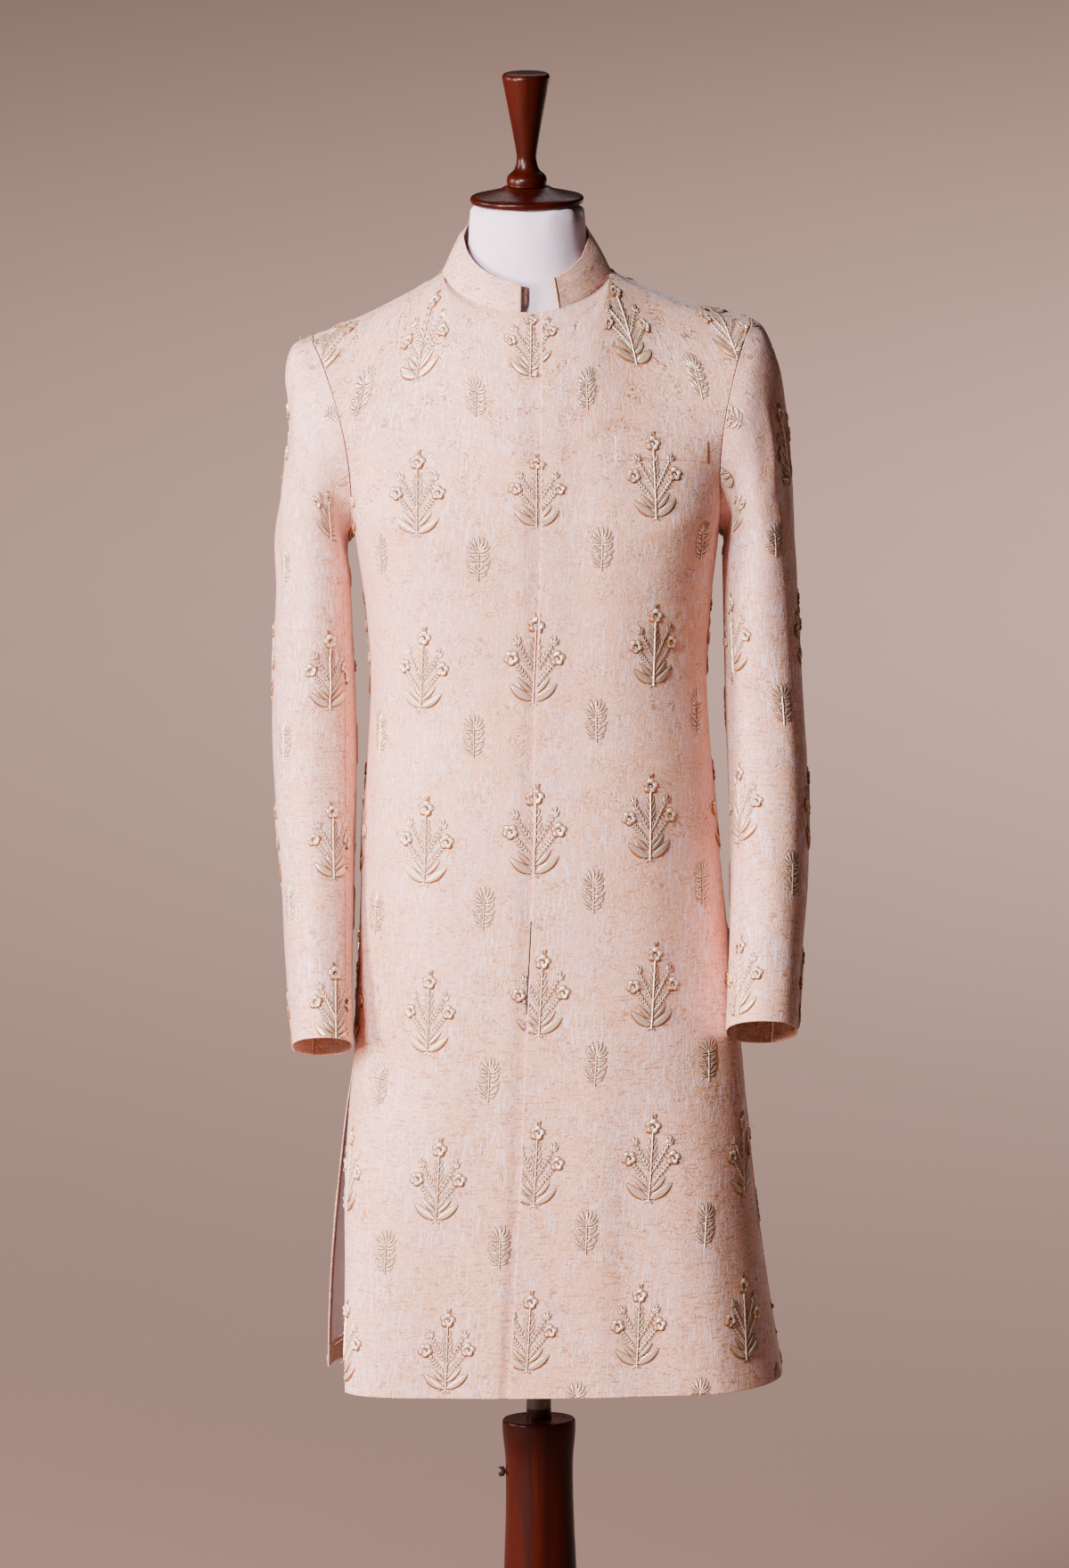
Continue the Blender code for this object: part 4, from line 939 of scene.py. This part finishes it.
left_rows, right_rows, rear_rows = half_front_rows(1), half_front_rows(-1), back_rows()
join_seams(left_rows, right_rows, rear_rows)
lapped = [row[HALF_COLUMNS - UNDERLAP_COLUMNS:HALF_COLUMNS + 1][::-1]
          for row in moved_in(left_rows, CLOTH + FRONT_LAP)]
right_all = [row[:-1] + more for row, more in zip(right_rows, lapped)]
left_sheet, right_sheet, back_sheet = (
    dense_sheet(coarse, ROWS_PER_CELL, COLUMNS_PER_CELL, s_zero) for coarse, s_zero in (
        (as_array(left_rows)[:, ::-1], 0), (as_array(right_all), HALF_COLUMNS),
        (as_array(rear_rows), BACK_COLUMNS / 2)))
for name, sheet, table, inside, flat in (
        ("front_left", left_sheet, LEFT_CREASES, satin, (0.3, 1.1)),
        ("front_right", right_sheet, RIGHT_CREASES, satin, (0.3, 1.1)),
        ("back", back_sheet, BACK_CREASES, facing, (0.5, 1.1))):
    sheet.crease(table)
    sheet.roll_edges()
    cloth_object(f"{name}_cloth", sheet, CLOTH, [jacquard, inside], name)

sleeve_sheet = {}
for side, name, front_rows in ((-1, "right", right_rows), (1, "left", left_rows)):
    sleeve_sheet[side] = sleeve_sheets(sleeve_rings(side, front_rows, rear_rows))
    sleeve_sheet[side][0].crease(SLEEVE_CREASES[side])
    for sheet, part, flat in zip(sleeve_sheet[side], ("top", "under"), ((0.22, 0.7), (0.15, 0.56))):
        sheet.roll_edges()
        cloth_object(f"{name}_sleeve_{part}_cloth", sheet, CLOTH, [sleeve_jacquard, facing],
                     f"{name}_sleeve_{part}")

collar_sheet = make_collar((left_rows, right_rows, rear_rows))
cloth_object("collar_cloth", collar_sheet, 0.0016, [jacquard, facing], "collar")
# the tab is coloured with painted shade
cloth_object("collar_tab_cloth", make_collar_tab(collar_sheet), 0.0008, [shadow_side] * 2,
             "collar")
welt_sheet, welt_place = make_welt(left_sheet)
cloth_object("pocket_welt_cloth", welt_sheet, 0.001, [jacquard], "pocket_welt")
cloth_object("back_lining_cloth", make_back_lining(back_sheet), 0.0008, [satin], "back_lining")


# ---------------------------------------------------------------- dress form and stand
TURNING_STEPS = 96
NECK_AXIS = (-0.001, -0.003, 0)
CAP_RIM = 1.5623          # bottom of the neck cap
FINIAL_FOOT = 1.5791
ORIGIN = (0, 0, 0)
# turned pieces: (radius, height) in millimetres, with corners kept where two of them lie close
CAP = ((0, 16.5), (20.5, 16.2), (22.5, 15.5), (25.5, 13.5), (34, 11.2), (46, 8.5), (52, 7),
       (53.4, 6), (54, 4.8), (54, 3.4), (53.4, 1.2), (52, 0), (0, 0))
FINIAL = ((0, 108.8), (12, 108.7), (19, 108), (21.4, 107), (22.4, 105.2), (22.6, 102.5),
          (20.8, 93), (16.5, 70), (12.5, 48), (9.8, 32), (9.5, 24), (11.8, 15.8), (16.5, 11.2),
          (18.6, 8), (19.1, 4.5), (18.8, 1.5), (18, 0), (10, 0), (0, 0))
BASE = ((0, 30), (170, 30), (178, 29.2), (184, 27), (188.5, 23), (190, 18), (190, 6), (188.8, 2),
        (186, 0), (0, 0))
POST = ((12.1, 45), (12.1, 386), (12.1, 386), (31.8, 386), (33, 385.8), (34.4, 384.8), (35, 383),
        (35, 377), (34.5, 368), (32.7, 350), (32.2, 328), (32.8, 291), (34.5, 246), (36.6, 191),
        (39, 130), (45, 82), (54, 60), (57.4, 53), (58, 47), (58, 30.3), (58, 30.3), (20, 30.3))
ROD = ((0, 800.7), (11.2, 800.7), (11.8, 800.1), (11.8, 175.6), (11.2, 175), (0, 175))
SOCKET = ((0, 804.7), (33.4, 804.7), (34, 804.1), (34, 801.3), (33.4, 800.7), (20.5, 796.7),
          (19.2, 793.7), (18, 766.7), (16.8, 765.1), (16, 764.7), (12.1, 764.7), (12.1, 801),
          (0, 801))
SCREW = ((0, 39.2), (3.7, 39.2), (4.5, 38.7), (4.8, 38), (4.8, 34.6), (4.4, 33.8), (3.5, 33.2),
         (2.2, 33.2), (2.2, 12.1), (0, 12.1))     # along its own axis, outwards from the post's
SCREW_PLACE = (0, 0, 0.3345)
# columns: node, profile, foot_z, finish, body, curve steps a point, place, turn
TURNED = (
    ("neck_cap", CAP, CAP_RIM, wood, FIGURE, 1, NECK_AXIS, ORIGIN),
    ("neck_finial", FINIAL, FINIAL_FOOT, wood, FIGURE, 4, NECK_AXIS, ORIGIN),
    ("stand_base", BASE, 0, wood, "stand", 1, ORIGIN, ORIGIN),
    ("stand_post", POST, 0, wood, "stand", 3, ORIGIN, ORIGIN),
    ("stand_rod", ROD, 0, iron, "mast", 1, ORIGIN, ORIGIN),
    ("form_socket", SOCKET, 0, iron, FIGURE, 1, ORIGIN, ORIGIN),
    ("clamp_screw", SCREW, 0, iron, "screw", 1, SCREW_PLACE, (0, -pi / 2, 0)),
)


def make_form_cover():
    """The form's jersey skin: its solid with faces joined up and subdivided smooth."""
    bm = bmesh.new()
    bm.from_mesh(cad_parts["form_body"].data)
    bmesh.ops.remove_doubles(bm, verts=bm.verts, dist=0.00002)
    bmesh.ops.join_triangles(bm, faces=bm.faces, angle_face_threshold=radians(40),
                             angle_shape_threshold=radians(60))
    mesh = bpy.data.meshes.new("form_cover")
    bm.to_mesh(mesh)
    bm.free()
    mesh.shade_smooth()
    made = add_object("form_cover", mesh, [jersey])
    finer = made.modifiers.new("smooth", "SUBSURF")
    finer.levels = finer.render_levels = 1
    declare(made, FIGURE, "form_body")


def turned_piece(node, profile, foot_z, finish, body, steps, place, turn):
    coarse = np.array([(radius / 1000, 0.0, foot_z + z / 1000) for radius, z in profile])
    rows_at = np.linspace(0, len(profile) - 1, (len(profile) - 1) * steps + 1)
    points = spline_weights(rows_at, len(profile)) @ coarse
    points[:, 0] = np.maximum(points[:, 0], 0)
    made = add_mesh(f"{node}_turned", points, [], [finish],
                    [(i, i + 1) for i in range(len(points) - 1)])
    spin = made.modifiers.new("spin", "SCREW")
    spin.steps = spin.render_steps = TURNING_STEPS
    spin.use_merge_vertices = True
    spin.merge_threshold = 0.00001
    spin.use_smooth_shade = True
    made.modifiers.new("edges", "EDGE_SPLIT").split_angle = radians(38)
    made.location = place
    made.rotation_euler = turn
    declare(made, body, node)


make_form_cover()
for piece in TURNED:
    turned_piece(*piece)


# ---------------------------------------------------------------- embroidery
# finishes: the zari's own bright colour, the same zari darkened in two steps as painted shade, and
# the cord of painted shadow
BRIGHT, SHADED_GOLD, DEEP_SHADE, SHADOW_CORD = range(4)
# cross-sections of laid stitches: (offset in half widths, height share) from edge to edge
ROUND = ((-1.0, 0.15), (-0.55, 0.9), (0.45, 0.9), (1.0, 0.15))
VEINED = ((-1.0, 0.2), (-0.62, 1.0), (-0.04, 0.3), (0.6, 0.9), (1.0, 0.15))
RIDGE = ((-1.0, 0.15), (0.0, 1.0), (1.0, 0.15))
SHADOW_CORD_WIDTH = 0.62           # width in mm of the dark cord round a stitched shape, painted shadow at its foot
STITCH_LIFT = 0.00008
# a rosette from its middle out: (radius share, height share, petal share, finish of the band)
ROSETTE = (
    (0.12, 0.55, 0.0, BRIGHT), (0.2, 0.2, 0.0, DEEP_SHADE), (0.34, 0.25, 0.1, DEEP_SHADE),
    (0.52, 0.95, 0.4, BRIGHT), (0.76, 1.0, 0.8, BRIGHT), (0.97, 0.3, 1.0, SHADED_GOLD),
    (1.06, 0.0, 1.0, SHADOW_CORD),
)
POINTS_A_PETAL = 6
FAN = ((-1.0, 5.5), (-0.55, 7.8), (0.0, 9.2), (0.55, 7.8), (1.0, 5.5))     # angle, length
# leaflets up the stem: height, reach, rise
LEAFLETS = ((33, 5.0, 7.5), (39, 5.6, 8.0), (45, 5.0, 8.5), (52, 3.8, 8.0))
# a sprig's strokes: height on the stem, length, angle, half width, curl
SPRIG_STROKES = (
    (5, 8.5, 25, 0.95, 1.8), (8, 12.5, 38, 1.15, 2.2), (11, 9.0, 60, 0.95, 1.2),
    (17, 11.5, 14, 0.95, 2.4), (19.5, 12.0, 36, 1.15, 2.0), (26, 10.0, 6, 0.95, 1.6),
    (27.5, 12.0, 28, 1.1, 1.4), (28.5, 13.0, 48, 1.1, 1.1), (29.5, 13.5, 69, 1.0, 0.7),
)


def bezier(start, control, end, steps):
    return [tuple(a * (1 - t)**2 + b * 2 * t * (1 - t) + c * t * t
                  for a, b, c in zip(start, control, end))
            for t in (i / steps for i in range(steps + 1))]


class Motif:
    """Raised stitches over a flat plane: (across, up, height) points in millimetres."""

    def __init__(self):
        self.points, self.stitch, self.faces, self.finish = [], [], [], []

    def strip(self, path, half_widths, section, height, finishes):
        """A padded strip along a path, with a dark cord of painted shadow down both sides;
        `finishes` runs over its bands.
        """
        first = len(self.points)
        count = len(section) + 2
        bands = [SHADOW_CORD] + [finishes[k % len(finishes)] for k in range(count - 3)] + [SHADOW_CORD]
        along = 0.0
        for i, (x, y) in enumerate(path):
            ahead, behind = path[min(i + 1, len(path) - 1)], path[max(i - 1, 0)]
            run = hypot(ahead[0] - behind[0], ahead[1] - behind[1])
            side_x, side_y = (ahead[1] - behind[1]) / run, -(ahead[0] - behind[0]) / run
            if i:
                along += hypot(x - path[i - 1][0], y - path[i - 1][1])
            half = half_widths[i]
            fullness = min(1.0, half / max(half_widths) * 1.3)
            across = [(offset * half, share) for offset, share in section]
            for off, share in [(-half - SHADOW_CORD_WIDTH, 0.0), *across, (half + SHADOW_CORD_WIDTH, 0.0)]:
                self.points.append((x + side_x * off, y + side_y * off, height * share * fullness))
                self.stitch.append((off, along + abs(off) * 0.9))
        for i in range(len(path) - 1):
            for k, finish in enumerate(bands):
                a = first + i * count + k
                self.faces.append((a, a + 1, a + 1 + count, a + count))
                self.finish.append(finish)

    def stem(self, start, control, end, half_width, height, steps=8):
        path = bezier(start, control, end, steps)
        self.strip(path, [half_width] * len(path), ROUND, height, (BRIGHT,))
        return path

    def leaf(self, start, end, half_width, bend, height, section=RIDGE, finishes=(BRIGHT,),
             steps=7):
        """A pointed leaf from start to end, its middle moved sideways by `bend`."""
        run = hypot(end[0] - start[0], end[1] - start[1])
        side = ((end[1] - start[1]) / run, -(end[0] - start[0]) / run)
        control = tuple((a + b) / 2 + s * bend * 2 for a, b, s in zip(start, end, side))
        widths = [half_width * max(0.08, sin(pi * (i / steps) ** 0.85) ** 0.8)
                  for i in range(steps + 1)]
        self.strip(bezier(start, control, end, steps), widths, section, height, finishes)

    def feather(self, path, length, half_width, height):
        """Short stitches in pairs along a branch, longest at its middle."""
        for i in range(2, len(path)):
            (x0, y0), (x1, y1) = path[i - 1], path[i]
            reach = length * (1.0 - 0.5 * abs(i / len(path) - 0.5))
            for side in (-1, 1):
                angle = atan2(y1 - y0, x1 - x0) + side * 0.72
                tip = (x1 + cos(angle) * reach, y1 + sin(angle) * reach)
                self.leaf((x1, y1), tip, half_width, -0.25 * side, height, steps=3)

    def rosette(self, x, y, radius, petals, height, turn):
        """A round flower worked over padding, with a crescent of painted shade round its eye and a
        rim of painted shade, each bright on its lit side.
        """
        around = petals * POINTS_A_PETAL
        angles = [2 * pi * k / around + turn for k in range(around)]
        lobes = [abs(cos(pi * k / POINTS_A_PETAL)) for k in range(around)]
        first = len(self.points)
        self.points.append((x, y, height * 0.6))
        self.stitch.append((0.0, 0.0))
        for share, rise, petal, _ in ROSETTE:
            for angle, lobe in zip(angles, lobes):
                reach = radius * share * (1 - 0.22 * petal * (1 - lobe))
                self.points.append((x + reach * cos(angle), y + reach * sin(angle),
                                    height * rise * (1 - 0.7 * petal * (1 - lobe) ** 2)))
                self.stitch.append((reach * 0.4, angle * radius * 0.6))
        for k, angle in enumerate(angles):
            ahead = (k + 1) % around
            self.faces.append((first, first + 1 + k, first + 1 + ahead))
            self.finish.append(BRIGHT)
            for ring in range(1, len(ROSETTE)):
                a = first + 1 + (ring - 1) * around
                b = a + around
                self.faces.append((a + k, b + k, b + ahead, a + ahead))
                finish = ROSETTE[ring][3]
                # painted light and shade: the shade bands take the bright thread on the side the
                # light comes from
                lit = (finish == DEEP_SHADE and sin(angle + 0.9) < -0.1
                       or finish == SHADED_GOLD and sin(angle + 0.6) > 0.2)
                self.finish.append(BRIGHT if lit else finish)

    def arrays(self):
        return (np.array(self.points) / 1000, np.array(self.stitch) / 1000, self.faces,
                np.array(self.finish))


def flowering_plant():
    """The large motif, 80 mm tall: a straight stem, three rosettes, two fans, pairs of leaves."""
    motif = Motif()
    for side in (-1, 1):
        # the leaves are bright thread on their lit side and gold, as painted shade, along the other
        lit_and_shaded_bands = (SHADED_GOLD, BRIGHT, BRIGHT, BRIGHT)[::-side]
        branch = motif.stem((0, 24), (side * 6.5, 37), (side * 15.5, 53), 0.6, 1.2)
        motif.feather(branch, 4.4, 0.8, 1.2)
        lower = motif.stem((0, 15), (side * 9.0, 24), (side * 17.0, 35.5), 0.6, 1.2)
        motif.feather(lower, 4.2, 0.8, 1.2)
        for fan, length in FAN:
            angle = radians(90 - side * 16) + fan
            tip = (side * 16.0 + cos(angle) * length, 53 + sin(angle) * length)
            motif.leaf((side * 16.0, 53), tip, 1.05, 0.0, 1.6, steps=5)
        motif.rosette(side * 20.8, 40.5, 7.4, 5, 2.2, 0.3 * side)
        foot = side * 0.6
        motif.leaf((foot, 2.0), (side * 21.5, 17.2), 4.0, side * 1.9, 1.9, VEINED, lit_and_shaded_bands, 9)
        motif.leaf((foot, 8.5), (side * 14.5, 23), 2.1, side * 1.2, 1.5, VEINED, lit_and_shaded_bands)
        motif.leaf((foot, 12), (side * 9.5, 27), 1.1, side * 0.6, 1.1, steps=5)
        for up, out, reach in LEAFLETS:
            motif.leaf((foot, up), (side * out, up + reach), 0.85, side * 0.5, 1.1, steps=4)
        motif.leaf((0, 2.5), (side * 7.0, 0.4), 0.9, side * -0.7, 1.0, RIDGE, (SHADED_GOLD, BRIGHT), 4)
        motif.leaf((0, 1.5), (side * 4.4, -3.2), 0.8, 0.0, 0.9, steps=3)
    motif.stem((0, -1), (0.4, 32), (0, 66), 0.75, 1.7, 12)
    motif.rosette(0, 70.5, 7.8, 5, 2.3, 0.2)
    motif.leaf((-2.2, 77.0), (-0.9, 82.0), 0.9, 0.3, 1.0, steps=3)
    # this leaf is all in painted shade
    motif.leaf((1.6, 77.3), (3.2, 82.5), 0.9, -0.3, 1.0, RIDGE, (SHADED_GOLD,), 3)
    return motif.arrays()


def sprig():
    """The small motif, 43 mm tall: a tuft over two tiers of curled strokes on a bare foot."""
    motif = Motif()
    motif.stem((0, 0), (0.4, 14), (0, 30), 0.6, 1.1, 7)
    for up, length, angle, half, curl in SPRIG_STROKES:
        for side in (-1, 1):
            tip = (side * cos(radians(angle)) * length, up + sin(radians(angle)) * length)
            motif.leaf((side * 0.4, up), tip, half, side * curl, 1.2, steps=5)
    motif.leaf((0, 30), (0.3, 43), 1.05, 0.2, 1.3, steps=5)
    return motif.arrays()


def embroider(name, sheet, places, extra=None, limits=(-9.0, 9.0)):
    """Lays motifs on a sheet: places are (motif, s, t, size) of each foot."""
    chance = random.Random(name)
    verts, stitches, faces, finishes = [], [], [], []
    count = 0
    for (points, stitch, motif_faces, finish), s, t, size in places:
        turn = radians(chance.uniform(-1.5, 1.5))
        size *= chance.uniform(0.98, 1.02)
        across = points[:, 0] * size * chance.uniform(0.97, 1.04)
        up = points[:, 1] * size
        s_at = s + across * cos(turn) + up * sin(turn)
        t_at = t + up * cos(turn) - across * sin(turn)
        base, normals, on = sheet.at(s_at, t_at)
        lift = STITCH_LIFT + points[:, 2] + (extra(s_at, t_at) if extra else 0)
        on = on & (s_at > limits[0]) & (s_at < limits[1])
        verts.append(base + normals * lift[:, None])
        stitches.append(stitch)
        for face, kind in zip(motif_faces, finish):
            if all(on[k] for k in face):
                faces.append(tuple(count + k for k in face))
                finishes.append(int(kind))
        count += len(points)
    used = sorted({k for face in faces for k in face})
    renumber = {old: new for new, old in enumerate(used)}
    faces = [tuple(renumber[k] for k in face) for face in faces]
    made = add_mesh(name, np.concatenate(verts)[used], faces, THREADS)
    made.data.polygons.foreach_set("material_index", finishes)
    lay_out(made, [k for face in faces for k in face], np.concatenate(stitches)[used])
    bm = bmesh.new()
    bm.from_mesh(made.data)
    bmesh.ops.recalc_face_normals(bm, faces=bm.faces)
    bm.to_mesh(made.data)
    bm.free()
    declare(made, FIGURE)


# zari_bright is the thread's own colour; the gold and dark threads are that zari in painted shade,
# and the cord is painted shadow
THREADS = (
    thread_material("zari_bright", (1.0, 0.83, 0.69), (0.86, 0.53, 0.34), 0.5, 0.3),
    thread_material("zari_gold_painted_shade", (0.52, 0.21, 0.065), (0.27, 0.095, 0.026), 0.4, 0.4),
    thread_material("zari_dark_painted_shade", (0.12, 0.055, 0.03), (0.06, 0.03, 0.018), 0.2, 0.5),
    thread_material("painted_shadow_cord", (0.17, 0.055, 0.018), (0.09, 0.028, 0.009), 0.0, 0.6, 0.0006),
)
REPEAT_ACROSS = 0.112
REPEAT_UP = 0.166
SMALL_RISE = 0.118
# feet of the large plants on each front, from the closure edge and the hem in millimetres
# columns: s, t, size
LEFT_LARGE = (
    (-10, 1024, 0.93), (103, 988, 0.92), (218, 1026, 0.92), (-4, 840, 0.96), (111, 847, 1.0),
    (-2, 669, 1.05), (115, 682, 0.95), (229, 676, 0.95), (1, 504, 1.05), (113, 515, 0.99),
    (228, 512, 0.97), (12, 350, 0.98), (120, 354, 1.0), (235, 350, 0.97), (14, 186, 0.99),
    (124, 188, 1.0), (237, 183, 0.96), (350, 186, 0.97), (16, 27, 0.94), (121, 30, 0.96),
    (235, 29, 0.97), (348, 26, 0.97),
)
RIGHT_LARGE = (
    (-127, 981, 0.92), (-10, 1012, 0.93), (-249, 1030, 0.94), (-119, 834, 0.98), (-4, 841, 0.96),
    (-226, 824, 0.97), (-112, 661, 1.0), (-2, 670, 1.05), (-222, 660, 0.97), (-106, 494, 1.01),
    (1, 504, 1.05), (-218, 494, 0.97), (-95, 332, 0.98), (12, 350, 0.98), (-207, 333, 0.97),
    (-79, 171, 0.97), (-191, 171, 0.97), (-61, 8, 0.97), (-174, 10, 0.97),
)
# feet of the small sprigs: s, t
LEFT_SMALL = (
    (47, 958), (167, 974), (58, 797), (172, 797), (59, 629), (174, 629), (58, 466), (176, 464),
    (67, 300), (184, 298), (298, 300), (66, 139), (182, 141), (296, 140), (64, -26), (184, -25),
    (298, -26),
)
RIGHT_SMALL = (
    (-188, 971), (-64, 950), (-165, 789), (-59, 789), (-166, 612), (-58, 616), (-166, 439),
    (-47, 451), (-149, 276), (-34, 286), (-126, 118), (-16, 125), (-238, 118),
)
# feet on the sleeves, from the front seam and the cuff
SLEEVE_LARGE = {
    -1: ((0.0127, 0.537, 0.9), (0.02, 0.3305, 0.92), (0.0165, 0.157, 0.94), (0.016, -0.004, 0.94)),
    1: ((0.0, 0.53, 0.9), (0.001, 0.35, 0.92), (0.0, 0.178, 0.94), (0.004, 0.0075, 0.94)),
}


def on_welt(s, t):
    """How far the welt's face stands above the left front at each point."""
    s_low, s_high, t_near, t_far, half = welt_place
    share = (s - s_low) / (s_high - s_low)
    middle = t_near + (t_far - t_near) * share
    inside = (share > 0) & (share < 1) & (np.abs(t - middle) < half)
    return np.where(inside, WELT_HEIGHT, 0.0)


def front_places(large, small):
    return ([(plant, s / 1000, t / 1000, size) for s, t, size in large]
            + [(bush, s / 1000, t / 1000, 1.0) for s, t in small])


def lattice(reach, t_start, t_end):
    """Half-drop repeat over a range of cloth coordinates, centred on s = 0."""
    places = []
    column_end = int(reach / REPEAT_ACROSS) + 2
    for column in range(-column_end, column_end + 1):
        t = t_start
        while t < t_end:
            s = column * REPEAT_ACROSS
            between = s + REPEAT_ACROSS / 2
            if -reach < s < reach:
                places.append((plant, s, t, 0.97))
            if -reach < between < reach:
                places.append((bush, between, t + SMALL_RISE, 1.0))
            t += REPEAT_UP
    return places


plant, bush = flowering_plant(), sprig()
embroider("front_left_embroidery", left_sheet, front_places(LEFT_LARGE, LEFT_SMALL), on_welt,
          (0.0008, 9.0))
embroider("front_right_embroidery", right_sheet, front_places(RIGHT_LARGE, RIGHT_SMALL), None,
          (-9.0, -0.001))
embroider("back_embroidery", back_sheet, lattice(0.3, 0.02 - REPEAT_UP, 1.05))
for side, name in ((-1, "right"), (1, "left")):
    places = []
    for s, t, size in SLEEVE_LARGE[side]:
        for column in range(-2, 3):
            places.append((plant, s + column * REPEAT_ACROSS * 0.94, t, size))
            places.append((bush, s + (column + 0.47) * REPEAT_ACROSS, t + SMALL_RISE, 1.0))
    for sheet, part in zip(sleeve_sheet[side], ("top", "under")):
        embroider(f"{name}_sleeve_{part}_embroidery", sheet, places)
embroider("collar_embroidery", collar_sheet, [(bush, -0.088, 0.004, 0.8)])


# ---------------------------------------------------------------- small things
PLACKET_GAP = (0.37, 0.459)      # its lower and upper end, up the cloth
PLACKET_DEPTH = 0.0021
PLACKET_SIDE = 0.0016
# columns: sheet, s, t and length in millimetres
LOOSE_THREADS = (
    (left_sheet, 255, 246, 9), (left_sheet, 259, 250, 7), (right_sheet, -203, 52, 9),
    (right_sheet, -204, 58, 6), (right_sheet, -203, 72, 5), (right_sheet, -201, 28, 4),
    (sleeve_sheet[-1][0], 190, 658, 5), (sleeve_sheet[-1][0], 200, 663, 5),
    (sleeve_sheet[1][0], 150, 640, 6), (sleeve_sheet[1][0], 165, 530, 5),
)


def tube(name, runs, radius, finish, sides=6):
    """Thin round runs through lists of points, in one piece."""
    verts, faces = [], []
    for points in runs:
        first = len(verts)
        for i, point in enumerate(points):
            ahead = points[min(i + 1, len(points) - 1)] - points[max(i - 1, 0)]
            across = ahead.orthogonal().normalized()
            other = ahead.cross(across).normalized()
            for k in range(sides):
                turn = 2 * pi * k / sides
                verts.append(point + (across * cos(turn) + other * sin(turn)) * radius)
        for a in range(first, len(verts) - sides, sides):
            for k in range(sides):
                b = a + (k + 1) % sides
                faces.append((a + k, b, b + sides, a + sides + k))
        faces.append(tuple(range(first, first + sides))[::-1])
        faces.append(tuple(range(len(verts) - sides, len(verts))))
    declare(add_mesh(name, verts, faces, [finish]), FIGURE)


def make_placket_gap():
    """A near-black tube of painted shadow, where the placket stands a little open at the hips."""
    points, normals, _ = left_sheet.at(np.full(12, 0.001), np.linspace(*PLACKET_GAP, 12))
    run = [Vector(p) - Vector(n) * PLACKET_DEPTH + Vector((-PLACKET_SIDE, 0, 0))
           for p, n in zip(points, normals)]
    run.insert(0, run[0] + Vector((0.0012, -0.0002, 0.0003)))
    tube("placket_gap_painted_shadow", [run], 0.0009, plain_material("placket_gap_shadow", (0.02, 0.012, 0.013)))


def make_loose_threads():
    """Short curled ends of thread that stand off the embroidery, some of them near the shoulders."""
    chance = random.Random(7)
    runs = []
    for sheet, s, t, length in LOOSE_THREADS:
        points, normals, _ = sheet.at(np.array([s / 1000]), np.array([t / 1000]))
        drift = Vector([chance.uniform(-1, 1) for _ in range(3)]) * 0.5
        runs.append([])
        for share in (k / 6 for k in range(7)):
            bend = drift * sin(share * 2.4) + Vector((0, 0, -0.5 * share**2))
            runs[-1].append(Vector(points[0]) + (Vector(normals[0]) * share + bend) * length / 1000)
    tube("loose_threads", runs, 0.00016, THREADS[BRIGHT], 4)


make_placket_gap()
make_loose_threads()


# ---------------------------------------------------------------- stage
IMAGE_HEIGHT = 1760
PIXEL_SIZE = 0.00085      # metres at the stand's axis
CAMERA_DISTANCE = 24.0
CAMERA_ELEVATION = 9.5
CAMERA_ROLL = -0.51
CAMERA_TARGET = Vector((0.0012, 0.0, 1.002))
SENSOR = 36.0
FLOOR_REACH = 30.0
FLOOR_DROP = 0.0002
FLOOR_COLOUR = (0.245, 0.152, 0.118)
WORLD_COLOUR = (1.0, 0.82, 0.72)
WORLD_STRENGTH = 0.03
# columns: name, place, target, size, power, colour
LIGHTS = (
    ("key", (-2.4, -3.6, 3.2), (0.0, 0.0, 1.15), (0.9, 1.1), 410.0, (1.0, 0.96, 0.96)),
    ("side_key", (-3.5, -2.5, 1.9), (0.0, 0.0, 1.15), (0.8, 1.0), 430.0, (1.0, 0.72, 0.66)),
    ("left_side", (-4.2, 0.3, 2.0), (0.0, 0.0, 1.0), (1.5, 1.5), 140.0, (1.0, 0.98, 1.0)),
    ("rear_soft", (0.6, 4.6, 4.6), (0.4, 3.4, 0.0), (4.0, 2.0), 45.0, (1.0, 0.86, 0.84)),
    ("backdrop", (4.5, 7.0, 5.5), (3.7, 11.0, 0.0), (6.0, 3.0), 2100.0, (1.0, 0.98, 1.0)),
)


def add_camera():
    data = bpy.data.cameras.new("camera")
    data.sensor_fit = "VERTICAL"
    data.sensor_height = SENSOR
    data.lens = SENSOR * CAMERA_DISTANCE / (PIXEL_SIZE * IMAGE_HEIGHT)
    data.clip_end = 200
    camera = add_object("camera", data)
    back = Vector((0, -cos(radians(CAMERA_ELEVATION)), sin(radians(CAMERA_ELEVATION))))
    camera.location = CAMERA_TARGET + back * CAMERA_DISTANCE
    turn = (-back).to_track_quat("-Z", "Y").to_matrix()
    camera.rotation_euler = (turn @ Matrix.Rotation(radians(CAMERA_ROLL), 3, "Z")).to_euler()
    bpy.context.scene.camera = camera


def add_area_light(name, place, target, size, power, colour):
    data = bpy.data.lights.new(name, "AREA")
    data.shape = "RECTANGLE"
    data.size, data.size_y = size
    data.energy = power
    data.color = colour
    light = add_object(name, data)
    light.location = place
    light.rotation_euler = (Vector(target) - Vector(place)).to_track_quat("-Z", "Y").to_euler()


def add_stage():
    corners = [Vector(at) * FLOOR_REACH for at in ((-1, -1, 0), (1, -1, 0), (1, 1, 0), (-1, 1, 0))]
    floor = add_mesh("floor", corners, [(0, 1, 2, 3)], [plain_material("floor", FLOOR_COLOUR)])
    floor.location.z = -FLOOR_DROP
    world = bpy.data.worlds.new("studio")
    world.use_nodes = True
    sky = world.node_tree.nodes["Background"]
    sky.inputs["Color"].default_value = (*WORLD_COLOUR, 1.0)
    sky.inputs["Strength"].default_value = WORLD_STRENGTH
    bpy.context.scene.world = world
    for light in LIGHTS:
        add_area_light(*light)


add_camera()
add_stage()
